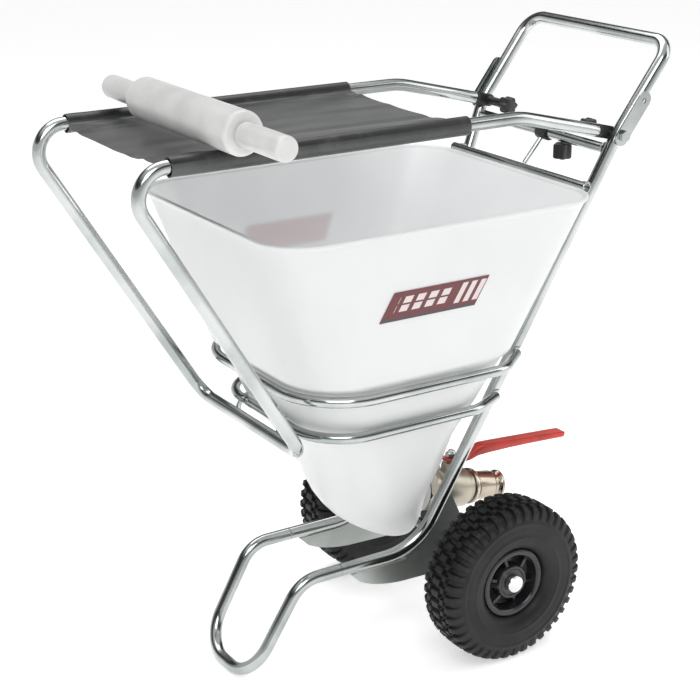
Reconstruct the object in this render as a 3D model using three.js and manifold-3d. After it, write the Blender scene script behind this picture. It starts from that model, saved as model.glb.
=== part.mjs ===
// Wheeled material hopper with a bag-pressing rack: a tapered polyethylene hopper on a bent-tube trolley,
// a ball valve at its lowest point, and a tilting rack with a stretched sheet and a loose rolling pin.
// Millimetres, +Z up, +X towards the push handle, +Y to the right hand of a person who pushes it.
// The pieces are placed from the wheel axle, and the whole is moved at the end so that the origin lies
// on the ground under the middle of the object.
import * as THREE from "three";
import { mergeVertices } from "three/addons/utils/BufferGeometryUtils.js";
import Module from "manifold-3d";

const wasm = await Module();
wasm.setup();

// ---- Driving dimensions ----
const gap = 0.3; // between pieces that touch

const tubeOD = 20; // main frame tube
const tubeWall = 1.5;
const thinTubeOD = 16; // cross bar, rim bar and hoops

const wheelOD = 260;
const wheelWidth = 84;
const rimOD = 124;
const track = 370; // between the middles of the wheels
const axleOD = 20;

const runHeight = 157; // the two side tubes beside the valve
const runHalf = 77;
const footFrontX = -302;
const footToeX = -390;
const footHalf = 70;
const footHeight = tubeOD / 2;
const bendX = -88; // where a side tube turns up
const jointX = 205; // the knuckle of each upright, where the rack pivots
const jointHeight = 803;
const jointHalf = 167;
const handleX = 303;
const handleHeight = 932;
const handleHalf = 168;

const rimHeight = 728; // hopper
const rimFrontX = -413;
// the hopper's rear rim follows the leaning uprights
const rimRearX = bendX + ((rimHeight - runHeight) / (jointHeight - runHeight)) * (jointX - bendX) - 32;
const rimHalf = 227;
const rimCorner = 70;
const hopperWall = 5;
const upperHoopHeight = 475;
const upperHoopFrontX = -339;
const upperHoopHalf = 185;
const lowerHoopHeight = 408;
const lowerHoopFrontX = -312;
const lowerHoopHalf = 158;
const bowlRadius = 113;
const bowlHeight = 293;
const sumpRadius = 22;
const sumpHeight = 155;

const outletX = -33; // outlet boss face on the bowl, on the valve's axis
const outletZ = 216;
const outletTilt = THREE.MathUtils.degToRad(10);
const boreRadius = 18;
const valveLength = 78;
const ballRadius = 25;
const leverLength = 228;

const railHeight = 846; // rack
const railFrontX = -616;
const railFrontHalf = 161;
const railBendX = 28;
const railBendHalf = 157;
const rackToeX = -340;
const rackToeHeight = 398;
const rackToeHalf = 151;
const tongueHalf = 151.5; // middle of the flat tongue at each rail's rear end
const sheetFrontX = -543;
const sheetRearX = -68;
const sheetThickness = 2;
const sleeveThickness = 2.5;

const rollerX = -460;
const rollerY = -73;
const rollerOD = 60;
const barrelLength = 286;
const gripOD = 34;
const gripLength = 106;
const coreOD = 14;

const roundSides = 20;
const tubeSides = 8;

// ---- Materials ----
const finish = (color, roughness, metalness = 0) =>
  new THREE.MeshStandardMaterial({ color, roughness, metalness });
const zinc = finish(0xc9cdd0, 0.22, 1);
const plateZinc = finish(0x8d948f, 0.4, 1);
const polyethylene = finish(0xdcdcda, 0.45);
const rubber = finish(0x2a2a2b, 0.85);
const blackPlastic = finish(0x17181a, 0.5);
const rimPaint = finish(0x1d1e20, 0.4);
const nickel = finish(0xb9b2a4, 0.3, 1);
const redVinyl = finish(0xc92f1e, 0.45);
const sheetVinyl = finish(0x3a3c3c, 0.5);
const seal = finish(0x303030, 0.8);
const sticker = finish(0x5a1016, 0.4);

// ---- Solids ----
const toSolid = (geometry) => {
  const bare = new THREE.BufferGeometry();
  bare.setAttribute("position", geometry.getAttribute("position"));
  bare.setIndex(geometry.getIndex());
  const merged = mergeVertices(bare, 1e-3);
  return new wasm.Manifold(
    new wasm.Mesh({
      numProp: 3,
      vertProperties: merged.attributes.position.array,
      triVerts: new Uint32Array(merged.index.array),
    }),
  );
};

const toGeometry = (solid) => {
  const mesh = solid.getMesh();
  return new THREE.BufferGeometry()
    .setAttribute("position", new THREE.BufferAttribute(mesh.vertProperties, 3))
    .setIndex(new THREE.BufferAttribute(mesh.triVerts, 1));
};

const cut = (geometry, ...tools) =>
  toGeometry(tools.reduce((solid, tool) => solid.subtract(toSolid(tool)), toSolid(geometry)));
const join = (geometry, ...others) =>
  toGeometry(others.reduce((solid, other) => solid.add(toSolid(other)), toSolid(geometry)));

// A turned piece: [radius, position] pairs round the axis, which is Y unless another is named.
const turned = (profile, axis = "y", sides = roundSides) => {
  const points = profile.map(([r, y]) => new THREE.Vector2(r, y));
  const geometry = new THREE.LatheGeometry(points, sides);
  if (axis === "x") geometry.rotateZ(-Math.PI / 2);
  if (axis === "z") geometry.rotateX(Math.PI / 2);
  return geometry;
};

const ring = (outer, inner, start, end, axis = "y", sides = roundSides) =>
  turned([[inner, start], [outer, start], [outer, end], [inner, end], [inner, start]], axis, sides);

const rod = (radius, start, end, axis = "y", sides = roundSides) =>
  turned([[0, start], [radius, start], [radius, end], [0, end]], axis, sides);

const hexBar = (acrossFlats, start, end, axis = "x") =>
  rod(acrossFlats / Math.sqrt(3), start, end, axis, 6);

const block = (x, y, z) => new THREE.BoxGeometry(x, y, z);

// A path of straight lines with rounded corners, sampled only where it bends.
class BentPath extends THREE.Curve {
  constructor(corners, radii, stepAngle = 0.3) {
    super();
    this.knots = [];
    const add = (point, tangent) => this.knots.push({ point, tangent });
    const last = corners.length - 1;
    add(corners[0], corners[1].clone().sub(corners[0]).normalize());
    for (let i = 1; i < last; i++) {
      const into = corners[i].clone().sub(corners[i - 1]).normalize();
      const out = corners[i + 1].clone().sub(corners[i]).normalize();
      const turn = into.angleTo(out);
      const reach = radii[i - 1] * Math.tan(turn / 2);
      const start = corners[i].clone().addScaledVector(into, -reach);
      const side = out.clone().addScaledVector(into, -out.dot(into)).normalize();
      const steps = Math.max(2, Math.ceil(turn / stepAngle));
      for (let k = 0; k <= steps; k++) {
        const a = (turn * k) / steps;
        const point = start
          .clone()
          .addScaledVector(into, radii[i - 1] * Math.sin(a))
          .addScaledVector(side, radii[i - 1] * (1 - Math.cos(a)));
        const tangent = into.clone().multiplyScalar(Math.cos(a)).addScaledVector(side, Math.sin(a));
        add(point, tangent);
      }
    }
    add(corners[last], corners[last].clone().sub(corners[last - 1]).normalize());
  }
  get steps() {
    return this.knots.length - 1;
  }
  at(t) {
    const place = Math.min(Math.max(t, 0), 1) * this.steps;
    const i = Math.min(Math.floor(place + 1e-6), this.steps - 1);
    return [this.knots[i], this.knots[i + 1], place - i];
  }
  getPoint(t) {
    const [a, b, share] = this.at(t);
    return a.point.clone().lerp(b.point, share);
  }
  getPointAt(t) {
    return this.getPoint(t);
  }
  getTangentAt(t) {
    const [a, b, share] = this.at(t);
    return a.tangent.clone().lerp(b.tangent, share).normalize();
  }
}

const v = (x, y, z) => new THREE.Vector3(x, y, z);

const sweep = (path, od, wall = 0, sides = tubeSides) => {
  const shape = new THREE.Shape();
  const circle = (radius, count) =>
    Array.from({ length: count }, (_, k) => {
      const a = (2 * Math.PI * k) / count;
      return new THREE.Vector2(radius * Math.cos(a), radius * Math.sin(a));
    });
  shape.setFromPoints(circle(od / 2, sides));
  if (wall > 0) shape.holes.push(new THREE.Path().setFromPoints(circle(od / 2 - wall, 4)));
  return new THREE.ExtrudeGeometry(shape, { steps: path.steps, extrudePath: path });
};

const bentTube = (corners, radii, od = tubeOD, wall = tubeWall, sides = tubeSides, step = 0.44) =>
  sweep(new BentPath(corners, radii, step), od, wall, sides);

const straightTube = (start, end, od = tubeOD, wall = tubeWall) =>
  sweep(new BentPath([start, end], []), od, wall);

// A flat plate: its outline in the X-Z plane, extruded along Y about the middle.
const platedXZ = (shape, thickness) =>
  new THREE.ExtrudeGeometry(shape, { depth: thickness, bevelEnabled: false, curveSegments: 6 })
    .translate(0, 0, -thickness / 2)
    .rotateX(Math.PI / 2);

const trolley = new THREE.Group();
const add = (name, geometry, material, parent = trolley) => {
  const mesh = new THREE.Mesh(geometry, material);
  mesh.name = name;
  parent.add(mesh);
  return mesh;
};
const sides = [["left", -1], ["right", 1]];

// ---- Frame: foot loop, two side tubes, handle ----
const frontGapX = footFrontX + 70; // the foot loop plugs into the side tubes here
const footLoop = bentTube(
  [
    v(frontGapX, -runHalf, runHeight),
    v(footFrontX, -runHalf, runHeight),
    v(footToeX, -footHalf, footHeight),
    v(footToeX, footHalf, footHeight),
    v(footFrontX, runHalf, runHeight),
    v(frontGapX, runHalf, runHeight),
  ],
  [52, 60, 60, 52],
);
add("foot_loop", footLoop, zinc);

const uprightBend = 90;
const knuckleBend = 120;
const knuckle = (s) => v(jointX, s * jointHalf, jointHeight);
const grip = (s) => v(handleX, s * handleHalf, handleHeight);
const spliceShare = 0.3; // how far up from the knuckle the handle tube starts
const splice = (s) => knuckle(s).lerp(grip(s), spliceShare);
const studOD = 8;
const studClear = studOD / 2 + gap;
const along = (geometry, x, y, z) => geometry.translate(x, y, z);

for (const [side, s] of sides) {
  const tube = bentTube(
    [v(frontGapX + gap, s * runHalf, runHeight), v(bendX, s * runHalf, runHeight), knuckle(s), splice(s)],
    [uprightBend, knuckleBend],
  );
  const hole = along(rod(studClear, -tubeOD, tubeOD, "y", 12), jointX, s * jointHalf, jointHeight);
  add("side_tube_" + side, cut(tube, hole), zinc);
}

const spliceGap = v(handleX - jointX, 0, handleHeight - jointHeight).setLength(gap);
add(
  "handle_loop",
  bentTube([splice(-1).add(spliceGap), grip(-1), grip(1), splice(1).add(spliceGap)], [34, 34]),
  zinc,
);

// A strap outside each splice joins the handle to the side tube.
const strapThickness = 3;
const strapWidth = 24;
const strapLength = 92;
const strapStart = 16; // below the knuckle
const handleLean = Math.atan2(handleHeight - jointHeight, handleX - jointX);
const strapBoltAt = strapLength - strapStart - 14;
for (const [side, s] of sides) {
  const outline = new THREE.Shape();
  const r = strapWidth / 2;
  outline.absarc(strapLength - strapStart - r, 0, r, -Math.PI / 2, Math.PI / 2);
  outline.absarc(r - strapStart, 0, r, Math.PI / 2, (3 * Math.PI) / 2);
  outline.closePath();
  const strap = cut(
    platedXZ(outline, strapThickness),
    rod(studClear, -tubeOD, tubeOD, "y", 12),
    along(rod(studClear, -tubeOD, tubeOD, "y", 12), strapBoltAt, 0, 0),
  );
  const mesh = add("joint_strap_" + side, strap, zinc);
  mesh.rotation.y = -handleLean;
  mesh.position.set(jointX, s * (jointHalf + tubeOD / 2 + strapThickness / 2 + 2 * gap + 1), jointHeight);
}

// ---- Cross members ----
const uprightAt = (height) => {
  const share = (height - runHeight) / (jointHeight - runHeight);
  return { x: bendX + share * (jointX - bendX), half: runHalf + share * (jointHalf - runHalf) };
};
const crossHeight = 780;
const crossAt = uprightAt(crossHeight);
const crossHalf = crossAt.half - tubeOD / 2 - 2;
const lockKnobY = -54;
const lockStudOD = 6;
const crossBar = cut(
  straightTube(v(crossAt.x, -crossHalf, crossHeight), v(crossAt.x, crossHalf, crossHeight), thinTubeOD),
  along(rod(lockStudOD / 2 + gap, -thinTubeOD, thinTubeOD, "z", 12), crossAt.x, lockKnobY, crossHeight),
);
add("cross_bar", crossBar, zinc);

const rimBarHeight = 728;
const rimBarX = uprightAt(rimBarHeight).x - (tubeOD + thinTubeOD) * 0.56 - 1.5;
const rimBarHalf = uprightAt(rimBarHeight).half + 12;
add(
  "rim_bar",
  straightTube(
    v(rimBarX, -rimBarHalf, rimBarHeight),
    v(rimBarX, rimBarHalf, rimBarHeight),
    thinTubeOD,
  ),
  zinc,
);

// A short stay from the middle of the cross bar to the rim bar, held by a plastic saddle.
const stayOD = 8;
const stayY = -10;
const saddleWidth = 24;
const saddleWall = 4;
const stayDrop = v(rimBarX - crossAt.x, 0, rimBarHeight - crossHeight).normalize();
const stayFrom = v(crossAt.x, stayY, crossHeight).addScaledVector(stayDrop, thinTubeOD / 2 + saddleWall + gap);
const stayTo = v(rimBarX, stayY, rimBarHeight).addScaledVector(stayDrop, -thinTubeOD / 2 - 1);
add("centre_stay", sweep(new BentPath([stayFrom, stayTo], []), stayOD, 0), zinc);
add(
  "stay_saddle",
  along(
    ring(thinTubeOD / 2 + saddleWall, thinTubeOD / 2 + gap, -saddleWidth / 2, saddleWidth / 2, "y", 20),
    crossAt.x,
    stayY,
    crossHeight,
  ),
  blackPlastic,
);

// ---- Hoops that carry the hopper ----
const hoop = (height, frontX, half, corner) => {
  const at = uprightAt(height);
  const endHalf = at.half + tubeOD / 2 + 8;
  const endX = at.x - 6;
  const shoulderX = at.x - 62;
  return bentTube(
    [
      v(endX, -endHalf, height),
      v(shoulderX, -half, height),
      v(frontX, -half, height),
      v(frontX, half, height),
      v(shoulderX, half, height),
      v(endX, endHalf, height),
    ],
    [60, corner, corner, 60],
    thinTubeOD,
    tubeWall,
    tubeSides,
    0.36,
  );
};
const upperHoopCorner = 104;
const lowerHoopCorner = 82;
add("upper_hoop", hoop(upperHoopHeight, upperHoopFrontX, upperHoopHalf, upperHoopCorner), zinc);
add("lower_hoop", hoop(lowerHoopHeight, lowerHoopFrontX, lowerHoopHalf, lowerHoopCorner), zinc);

// ---- Hopper ----
// Each level of the hopper is a rounded rectangle: height, front x, rear x, half width, corner radius.
const clearOfTube = thinTubeOD / 2 + 3;
const upperWall = { front: upperHoopFrontX + clearOfTube, half: upperHoopHalf - clearOfTube };
const lowerWall = { front: lowerHoopFrontX + clearOfTube, half: lowerHoopHalf - clearOfTube };
const rearWall = (height) => uprightAt(height).x - tubeOD / Math.SQRT2 - 1.5;
const shoulderHeight = upperHoopHeight + 24;
const shoulderShare = (shoulderHeight - upperHoopHeight) / (rimHeight - upperHoopHeight);
const shoulderStep = 7; // the wall steps out over the upper hoop and rests on it
const mix = (a, b, share) => a + (b - a) * share;
const bowlMiddle = -127;
const levels = [
  [sumpHeight, -98, -54, sumpRadius, sumpRadius],
  [sumpHeight + 7, -116, -50, 34, 34],
  [sumpHeight + 27, -152, -44, 54, 54],
  [sumpHeight + 55, -190, -41, 75, 75],
  [sumpHeight + 93, -220, -34, 94, 94],
  [bowlHeight, bowlMiddle - bowlRadius, bowlMiddle + bowlRadius, bowlRadius, bowlRadius],
  [mix(bowlHeight, lowerHoopHeight, 0.5), -270, -6, 131, 110],
  [lowerHoopHeight, lowerWall.front, rearWall(lowerHoopHeight), lowerWall.half, lowerHoopCorner + 4],
  [
    upperHoopHeight + 5,
    upperWall.front,
    rearWall(upperHoopHeight + 5),
    upperWall.half,
    upperHoopCorner - 8,
  ],
  [
    shoulderHeight,
    mix(upperWall.front, rimFrontX, shoulderShare) - shoulderStep,
    rearWall(shoulderHeight),
    mix(upperWall.half, rimHalf, shoulderShare) + shoulderStep,
    upperHoopCorner - 12,
  ],
  [rimHeight, rimFrontX, rimRearX, rimHalf, rimCorner],
];
const cornerSteps = 4;
const loft = (rows) => {
  const unit = new THREE.Shape();
  for (let corner = 0; corner < 4; corner++) {
    const cx = corner === 0 || corner === 3 ? 1 : -1;
    const cy = corner < 2 ? 1 : -1;
    const start = (corner * Math.PI) / 2;
    for (let k = 0; k <= cornerSteps; k++) {
      const a = start + (k * Math.PI) / 2 / cornerSteps;
      const place = [cx * 2 + Math.cos(a), cy * 2 + Math.sin(a)];
      if (corner + k === 0) unit.moveTo(...place);
      else unit.lineTo(...place);
    }
  }
  const steps = rows.length - 1;
  const geometry = new THREE.ExtrudeGeometry(unit, { depth: steps, steps, bevelEnabled: false });
  const place = geometry.getAttribute("position");
  for (let i = 0; i < place.count; i++) {
    const [height, front, rear, half, radius] = rows[Math.round(place.getZ(i))];
    const sx = Math.sign(place.getX(i));
    const sy = Math.sign(place.getY(i));
    const length = (rear - front) / 2;
    const r = Math.min(radius, length - 0.05, half - 0.05);
    const x = (front + rear) / 2 + sx * (length - r) + (place.getX(i) - sx * 2) * r;
    const y = sy * (half - r) + (place.getY(i) - sy * 2) * r;
    place.setXYZ(i, x, y, height);
  }
  return geometry;
};
const inside = levels.map(([height, front, rear, half, radius], i) => [
  i === 0 ? height + hopperWall : height + (i < 4 ? hopperWall * 0.7 : 0),
  front + hopperWall,
  rear - hopperWall,
  half - hopperWall,
  Math.max(radius - hopperWall, 5),
]);
inside[inside.length - 1][0] += 1;

// The outlet axis points to the rear and down; valve pieces are built along local X.
const outlet = new THREE.Group();
outlet.position.set(outletX, 0, outletZ);
outlet.rotation.y = outletTilt;
outlet.updateMatrix();
const inOutletFrame = (geometry) => geometry.applyMatrix4(outlet.matrix);
const bossRadius = 36;
const liningRadius = boreRadius + 3;
const hopperShell = cut(
  join(loft(levels), inOutletFrame(rod(bossRadius, -34, 0, "x", 20))),
  loft(inside),
  inOutletFrame(rod(liningRadius + gap, -70, 4, "x", 20)),
);
add("hopper", hopperShell, polyethylene);

// A generic slanted label on each side wall, with stripes at its rear end.
const labelThickness = 0.8;
const wallSlope = Math.atan2(rimHalf - mix(upperWall.half, rimHalf, shoulderShare) - shoulderStep, rimHeight - shoulderHeight);
const labelHeight = 617;
const labelMiddleX = -154;
const wallHalfAt = (height) => {
  const share = (height - shoulderHeight) / (rimHeight - shoulderHeight);
  return mix(mix(upperWall.half, rimHalf, shoulderShare) + shoulderStep, rimHalf, share);
};
for (const [side, s] of sides) {
  const outline = new THREE.Shape();
  outline.moveTo(-92, -21);
  outline.lineTo(72, -21);
  outline.lineTo(92, 21);
  outline.lineTo(-72, 21);
  outline.closePath();
  const mesh = add("label_" + side, platedXZ(outline, labelThickness), sticker);
  mesh.position.set(labelMiddleX, s * (wallHalfAt(labelHeight) + labelThickness / 2 + gap), labelHeight);
  mesh.rotation.x = -s * wallSlope;
}

// ---- Axle plates ----
const plateThickness = 4;
const axleHeight = wheelOD / 2;
const axleClear = axleOD / 2 + gap;
const platePlane = runHalf;
const uprightLean = Math.atan2(jointHeight - runHeight, jointX - bendX);
const bendReach = uprightBend * Math.tan(uprightLean / 2);
for (const [side, s] of sides) {
  const offset = tubeOD / 2 + 3;
  const outline = new THREE.Shape();
  const arcX = bendX - bendReach;
  const arcZ = runHeight + uprightBend;
  outline.moveTo(-212, runHeight - offset);
  outline.lineTo(-196, 128);
  outline.quadraticCurveTo(-168, 112, -120, 108);
  outline.lineTo(6, 104);
  outline.quadraticCurveTo(28, 106, 26, 132);
  outline.lineTo(-24, 236);
  outline.absarc(arcX, arcZ, uprightBend + offset, -0.18, -Math.PI / 2, true);
  outline.closePath();
  const plate = cut(
    platedXZ(outline, plateThickness),
    along(rod(axleClear, -20, 20, "y", 20), 0, 0, axleHeight),
  );
  const mesh = add("axle_plate_" + side, plate, plateZinc);
  mesh.position.y = s * platePlane;
}

// ---- Axle, spacers and wheels ----
const hubOuter = 26; // the hub's ends, outwards and inwards from the middle of the wheel
const hubInner = 42;
const hubRadius = 28;
const bearingRadius = 21.2;
const bearingLength = 13;
const capHeight = 10;
const capRadius = 14;
const axleEnd = 33; // how far the axle stands out of the middle of the wheel
const axleHalf = track / 2 + axleEnd;
add("axle", along(rod(axleOD / 2, -axleHalf, axleHalf, "y", 20), 0, 0, axleHeight), zinc);

const wheelSides = 20;
const tyreRadius = wheelOD / 2;
const tyreHalf = wheelWidth / 2;
const beadRadius = 50.2;
// Half of the tyre's section: the outside from the tread's middle to the bead, then back inside.
const tyreOutside = [
  [tyreRadius, 0],
  [tyreRadius, 19],
  [124, 33],
  [106, 40.5],
  [86, tyreHalf],
  [68, 39],
  [58.5, 31],
  [56.8, 23.2],
  [beadRadius, 22.6],
  [beadRadius, 14],
];
const tyreInside = [
  [57, 14],
  [72, 31],
  [98, 34],
  [118, 14],
  [118, 0],
];
const mirrored = (profile) => profile.map(([r, y]) => [r, -y]).reverse();
const tyreProfile = [
  ...mirrored(tyreOutside),
  ...tyreOutside.slice(1),
  ...tyreInside,
  ...mirrored(tyreInside).slice(1),
  [beadRadius, -14],
];
// Half a rim: a dished ring round its own length of the hub.
const rimSection = (hubEnd) => [
  [bearingRadius + gap, gap / 2],
  [49.2, gap / 2],
  [49.2, 23.6],
  [56, 24.6],
  [56, 29.5],
  [46, 29.5],
  [42, 8],
  [hubRadius, 8],
  [hubRadius, hubEnd],
  [bearingRadius + gap, hubEnd],
  [bearingRadius + gap, gap / 2],
];
for (const [side, s] of sides) {
  const wheel = new THREE.Group();
  wheel.position.set(0, (s * track) / 2, axleHeight);
  trolley.add(wheel);
  const facing = (geometry) => (s > 0 ? geometry : geometry.rotateX(Math.PI));
  add("tyre_" + side, turned(tyreProfile, "y", wheelSides), rubber, wheel);
  add("rim_outer_" + side, facing(turned(rimSection(hubOuter), "y", wheelSides)), rimPaint, wheel);
  add(
    "rim_inner_" + side,
    facing(turned(mirrored(rimSection(hubInner)), "y", wheelSides)),
    rimPaint,
    wheel,
  );
  const bearing = (start) => ring(bearingRadius, axleClear, start, start + bearingLength, "y", 20);
  add("bearing_outer_" + side, facing(bearing(hubOuter - bearingLength - 0.5)), nickel, wheel);
  add("bearing_inner_" + side, facing(bearing(0.5 - hubInner)), nickel, wheel);
  const capStart = hubOuter + gap;
  const cap = turned(
    [
      [axleClear, capStart],
      [capRadius, capStart],
      [capRadius, capStart + capHeight - 2],
      [capRadius - 2, capStart + capHeight],
      [0, capStart + capHeight],
      [0, axleEnd + gap],
      [axleClear, axleEnd + gap],
      [axleClear, capStart],
    ],
    "y",
    20,
  );
  add("hub_cap_" + side, facing(cap), nickel);
  trolley.getObjectByName("hub_cap_" + side).position.copy(wheel.position);
  const spacerStart = platePlane + plateThickness / 2 + gap;
  const spacerEnd = track / 2 - hubInner - gap;
  const spacer = add("axle_spacer_" + side, facing(ring(14, axleClear, spacerStart, spacerEnd, "y", 18)), zinc);
  spacer.position.z = axleHeight;
}

// ---- Outlet and ball valve, along the outlet's axis ----
const gasketEnd = 3;
const nutEnd = 21;
add("outlet_gasket", ring(bossRadius - 2, liningRadius + gap, gap, gasketEnd, "x", 20), seal, outlet);
const outletNut = cut(
  hexBar(60, gasketEnd + gap, nutEnd),
  rod(liningRadius + gap, 0, nutEnd + 4, "x", 20),
);
add("outlet_nut", outletNut, nickel, outlet);
const liningFlange = 30;
const lining = turned(
  [
    [boreRadius, -40],
    [liningFlange, -40],
    [liningFlange, -37],
    [liningRadius, -37],
    [liningRadius, nutEnd],
    [boreRadius, nutEnd],
    [boreRadius, -40],
  ],
  "x",
  20,
);
add("outlet_tube", lining, nickel, outlet);

const valveStart = nutEnd + gap;
const valveEnd = valveStart + valveLength;
const valveMiddle = 56;
const bodyRadius = 33;
const bossTop = 44; // the stem boss, above the valve's axis
const ballClear = 1.3; // lets the ball turn in its chamber
const seatRadius = ballRadius - 3;
const seatReach = 23;
const stemRadius = 5;
const bodyBlank = turned(
  [
    [0, valveStart],
    [27, valveStart],
    [27, valveStart + 9],
    [bodyRadius, valveStart + 13],
    [bodyRadius, valveEnd - 13],
    [27, valveEnd - 9],
    [27, valveEnd],
    [0, valveEnd],
  ],
  "x",
  20,
);
const ballSphere = (radius) => new THREE.SphereGeometry(radius, 16, 10).translate(valveMiddle, 0, 0);
const valveBody = cut(
  join(bodyBlank, rod(13, 24, bossTop, "z", 20).translate(valveMiddle, 0, 0)),
  rod(boreRadius, 0, valveEnd + 10, "x", 20),
  rod(seatRadius + gap, valveMiddle - seatReach, valveMiddle + seatReach, "x", 20),
  ballSphere(ballRadius + ballClear),
  rod(stemRadius + gap, 0, 60, "z", 16).translate(valveMiddle, 0, 0),
);
add("valve_body", valveBody, nickel, outlet);
const seatStart = Math.sqrt(ballRadius ** 2 - (boreRadius + 1) ** 2) + 1;
for (const [name, e] of [["inlet", -1], ["outlet", 1]]) {
  const seatRing = ring(seatRadius, boreRadius + gap, seatStart, seatReach - gap, "x", 20);
  const mesh = add("ball_seat_" + name, e > 0 ? seatRing : seatRing.rotateZ(Math.PI), seal, outlet);
  mesh.position.x = valveMiddle;
}
const slotWidth = 6;
const ball = cut(
  ballSphere(ballRadius),
  rod(boreRadius - 1, 0, valveEnd, "x", 20),
  block(14, slotWidth, 12).translate(valveMiddle, 0, ballRadius),
);
add("valve_ball", ball, nickel, outlet);
const leverPlane = bossTop + 4;
const leverThickness = 4;
const stem = join(
  rod(stemRadius, ballRadius + 1, leverPlane + 15, "z", 16).translate(valveMiddle, 0, 0),
  block(2 * stemRadius - 2, slotWidth - 2 * gap, 8).translate(valveMiddle, 0, ballRadius - 1.5),
);
add("valve_stem", stem, nickel, outlet);
const leverOutline = new THREE.Shape();
const stepUp = 20; // the lever's joggle over the valve body
const leverRise = 0.1; // slope of the long arm
const armStart = 52;
const armHeight = (x) => stepUp + (x - armStart) * leverRise;
leverOutline.moveTo(-13, 0);
leverOutline.lineTo(30, 0);
leverOutline.lineTo(armStart, stepUp);
leverOutline.lineTo(leverLength, armHeight(leverLength));
leverOutline.lineTo(leverLength, armHeight(leverLength) + leverThickness);
leverOutline.lineTo(armStart - 2, stepUp + leverThickness - 0.3);
leverOutline.lineTo(27, leverThickness);
leverOutline.lineTo(-13, leverThickness);
leverOutline.closePath();
const leverWidth = 22;
const lever = cut(
  platedXZ(leverOutline, leverWidth).translate(valveMiddle, 0, leverPlane),
  rod(stemRadius + gap, leverPlane - 2, leverPlane + 20, "z", 16).translate(valveMiddle, 0, 0),
);
const sleeveStart = armStart + 6;
const sleeveShape = new THREE.Shape();
const sleeveWall = 2.5;
const low = (x) => armHeight(x) - sleeveWall;
const high = (x) => armHeight(x) + leverThickness + sleeveWall;
const sleeveDrop = 11; // the sleeve is deeper where the lever's sides are folded down
const sleeveTaper = 150;
sleeveShape.moveTo(sleeveStart, low(sleeveStart) - sleeveDrop);
sleeveShape.lineTo(sleeveTaper, low(sleeveTaper) - 1);
sleeveShape.lineTo(leverLength + 4, low(leverLength + 4));
sleeveShape.lineTo(leverLength + 4, high(leverLength + 4));
sleeveShape.lineTo(sleeveStart, high(sleeveStart));
sleeveShape.closePath();
const leverPocket = new THREE.Shape();
leverPocket.moveTo(sleeveStart - 20, armHeight(sleeveStart - 20) - gap);
leverPocket.lineTo(leverLength + gap, armHeight(leverLength) - gap);
leverPocket.lineTo(leverLength + gap, armHeight(leverLength) + leverThickness + gap + 0.6);
leverPocket.lineTo(sleeveStart - 20, armHeight(sleeveStart - 20) + leverThickness + gap + 0.6);
leverPocket.closePath();
const sleeve = cut(
  platedXZ(sleeveShape, leverWidth + 2 * sleeveWall).translate(valveMiddle, 0, leverPlane),
  platedXZ(leverPocket, leverWidth + 2 * gap).translate(valveMiddle, 0, leverPlane),
);
add("valve_lever", lever, redVinyl, outlet);
add("lever_sleeve", sleeve, redVinyl, outlet);
const leverNut = cut(
  join(hexBar(17, leverPlane + leverThickness + gap, leverPlane + 13, "z"),
    turned([[0, leverPlane + 12.5], [7.5, leverPlane + 12.5], [5, leverPlane + 17], [0, leverPlane + 18.5]], "z", 16)),
  rod(stemRadius + gap, leverPlane, leverPlane + 15 + gap, "z", 16),
);
add("lever_nut", leverNut.translate(valveMiddle, 0, 0), nickel, outlet);

const flangeEnd = valveEnd + 7;
add("end_flange", ring(30, boreRadius, valveEnd + gap, flangeEnd, "x", 20), nickel, outlet);
const adapterStart = flangeEnd + gap;
const adapterRadius = 24;
const adapterEnd = 164;
const adapter = turned(
  [
    [boreRadius, adapterStart],
    [adapterRadius, adapterStart],
    [adapterRadius, adapterEnd - 20],
    [adapterRadius - 4, adapterEnd - 17],
    [adapterRadius - 4, adapterEnd - 9],
    [adapterRadius, adapterEnd - 6],
    [adapterRadius, adapterEnd - 1.5],
    [adapterRadius - 1, adapterEnd],
    [boreRadius + 0.6, adapterEnd],
    [boreRadius, adapterEnd - 1],
    [boreRadius, adapterStart],
  ],
  "x",
);
add("hose_adapter", adapter, nickel, outlet);
trolley.add(outlet);

// ---- Rack: one bent tube, sheet, hooks and pivot tongues ----
const railEnd = 176;
const railEndShare = (railEnd - railBendX) / (jointX - railBendX);
const railEndAt = (s) =>
  v(railEnd, s * mix(railBendHalf, tongueHalf, railEndShare), mix(railHeight, jointHeight, railEndShare));
const rackCorner = (s) => v(railFrontX, s * railFrontHalf, railHeight);
const rackToe = (s) => v(rackToeX, s * rackToeHalf, rackToeHeight);
const railBend = (s) => v(railBendX, s * railBendHalf, railHeight);
const hairpin = 40;
const toeBend = 32;
add(
  "rack_tube",
  bentTube(
    [
      railEndAt(-1),
      railBend(-1),
      rackCorner(-1),
      rackToe(-1),
      rackToe(1),
      rackCorner(1),
      railBend(1),
      railEndAt(1),
    ],
    [150, hairpin, toeBend, toeBend, hairpin, 150],
  ),
  zinc,
);

const tongueThickness = 6;
const tongueWidth = 20;
const railDrop = Math.atan2(railHeight - jointHeight, jointX - railBendX);
for (const [side, s] of sides) {
  const outline = new THREE.Shape();
  const r = tongueWidth / 2;
  outline.moveTo(-26, -r);
  outline.lineTo(0, -r);
  outline.absarc(0, 0, r, -Math.PI / 2, Math.PI / 2);
  outline.lineTo(-26, r);
  outline.closePath();
  const tongue = cut(
    platedXZ(outline, tongueThickness),
    rod(studClear, -tubeOD, tubeOD, "y", 12),
  );
  const mesh = add("rail_tongue_" + side, tongue, blackPlastic);
  mesh.rotation.y = railDrop;
  mesh.position.set(jointX, s * tongueHalf, jointHeight);
}

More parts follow.
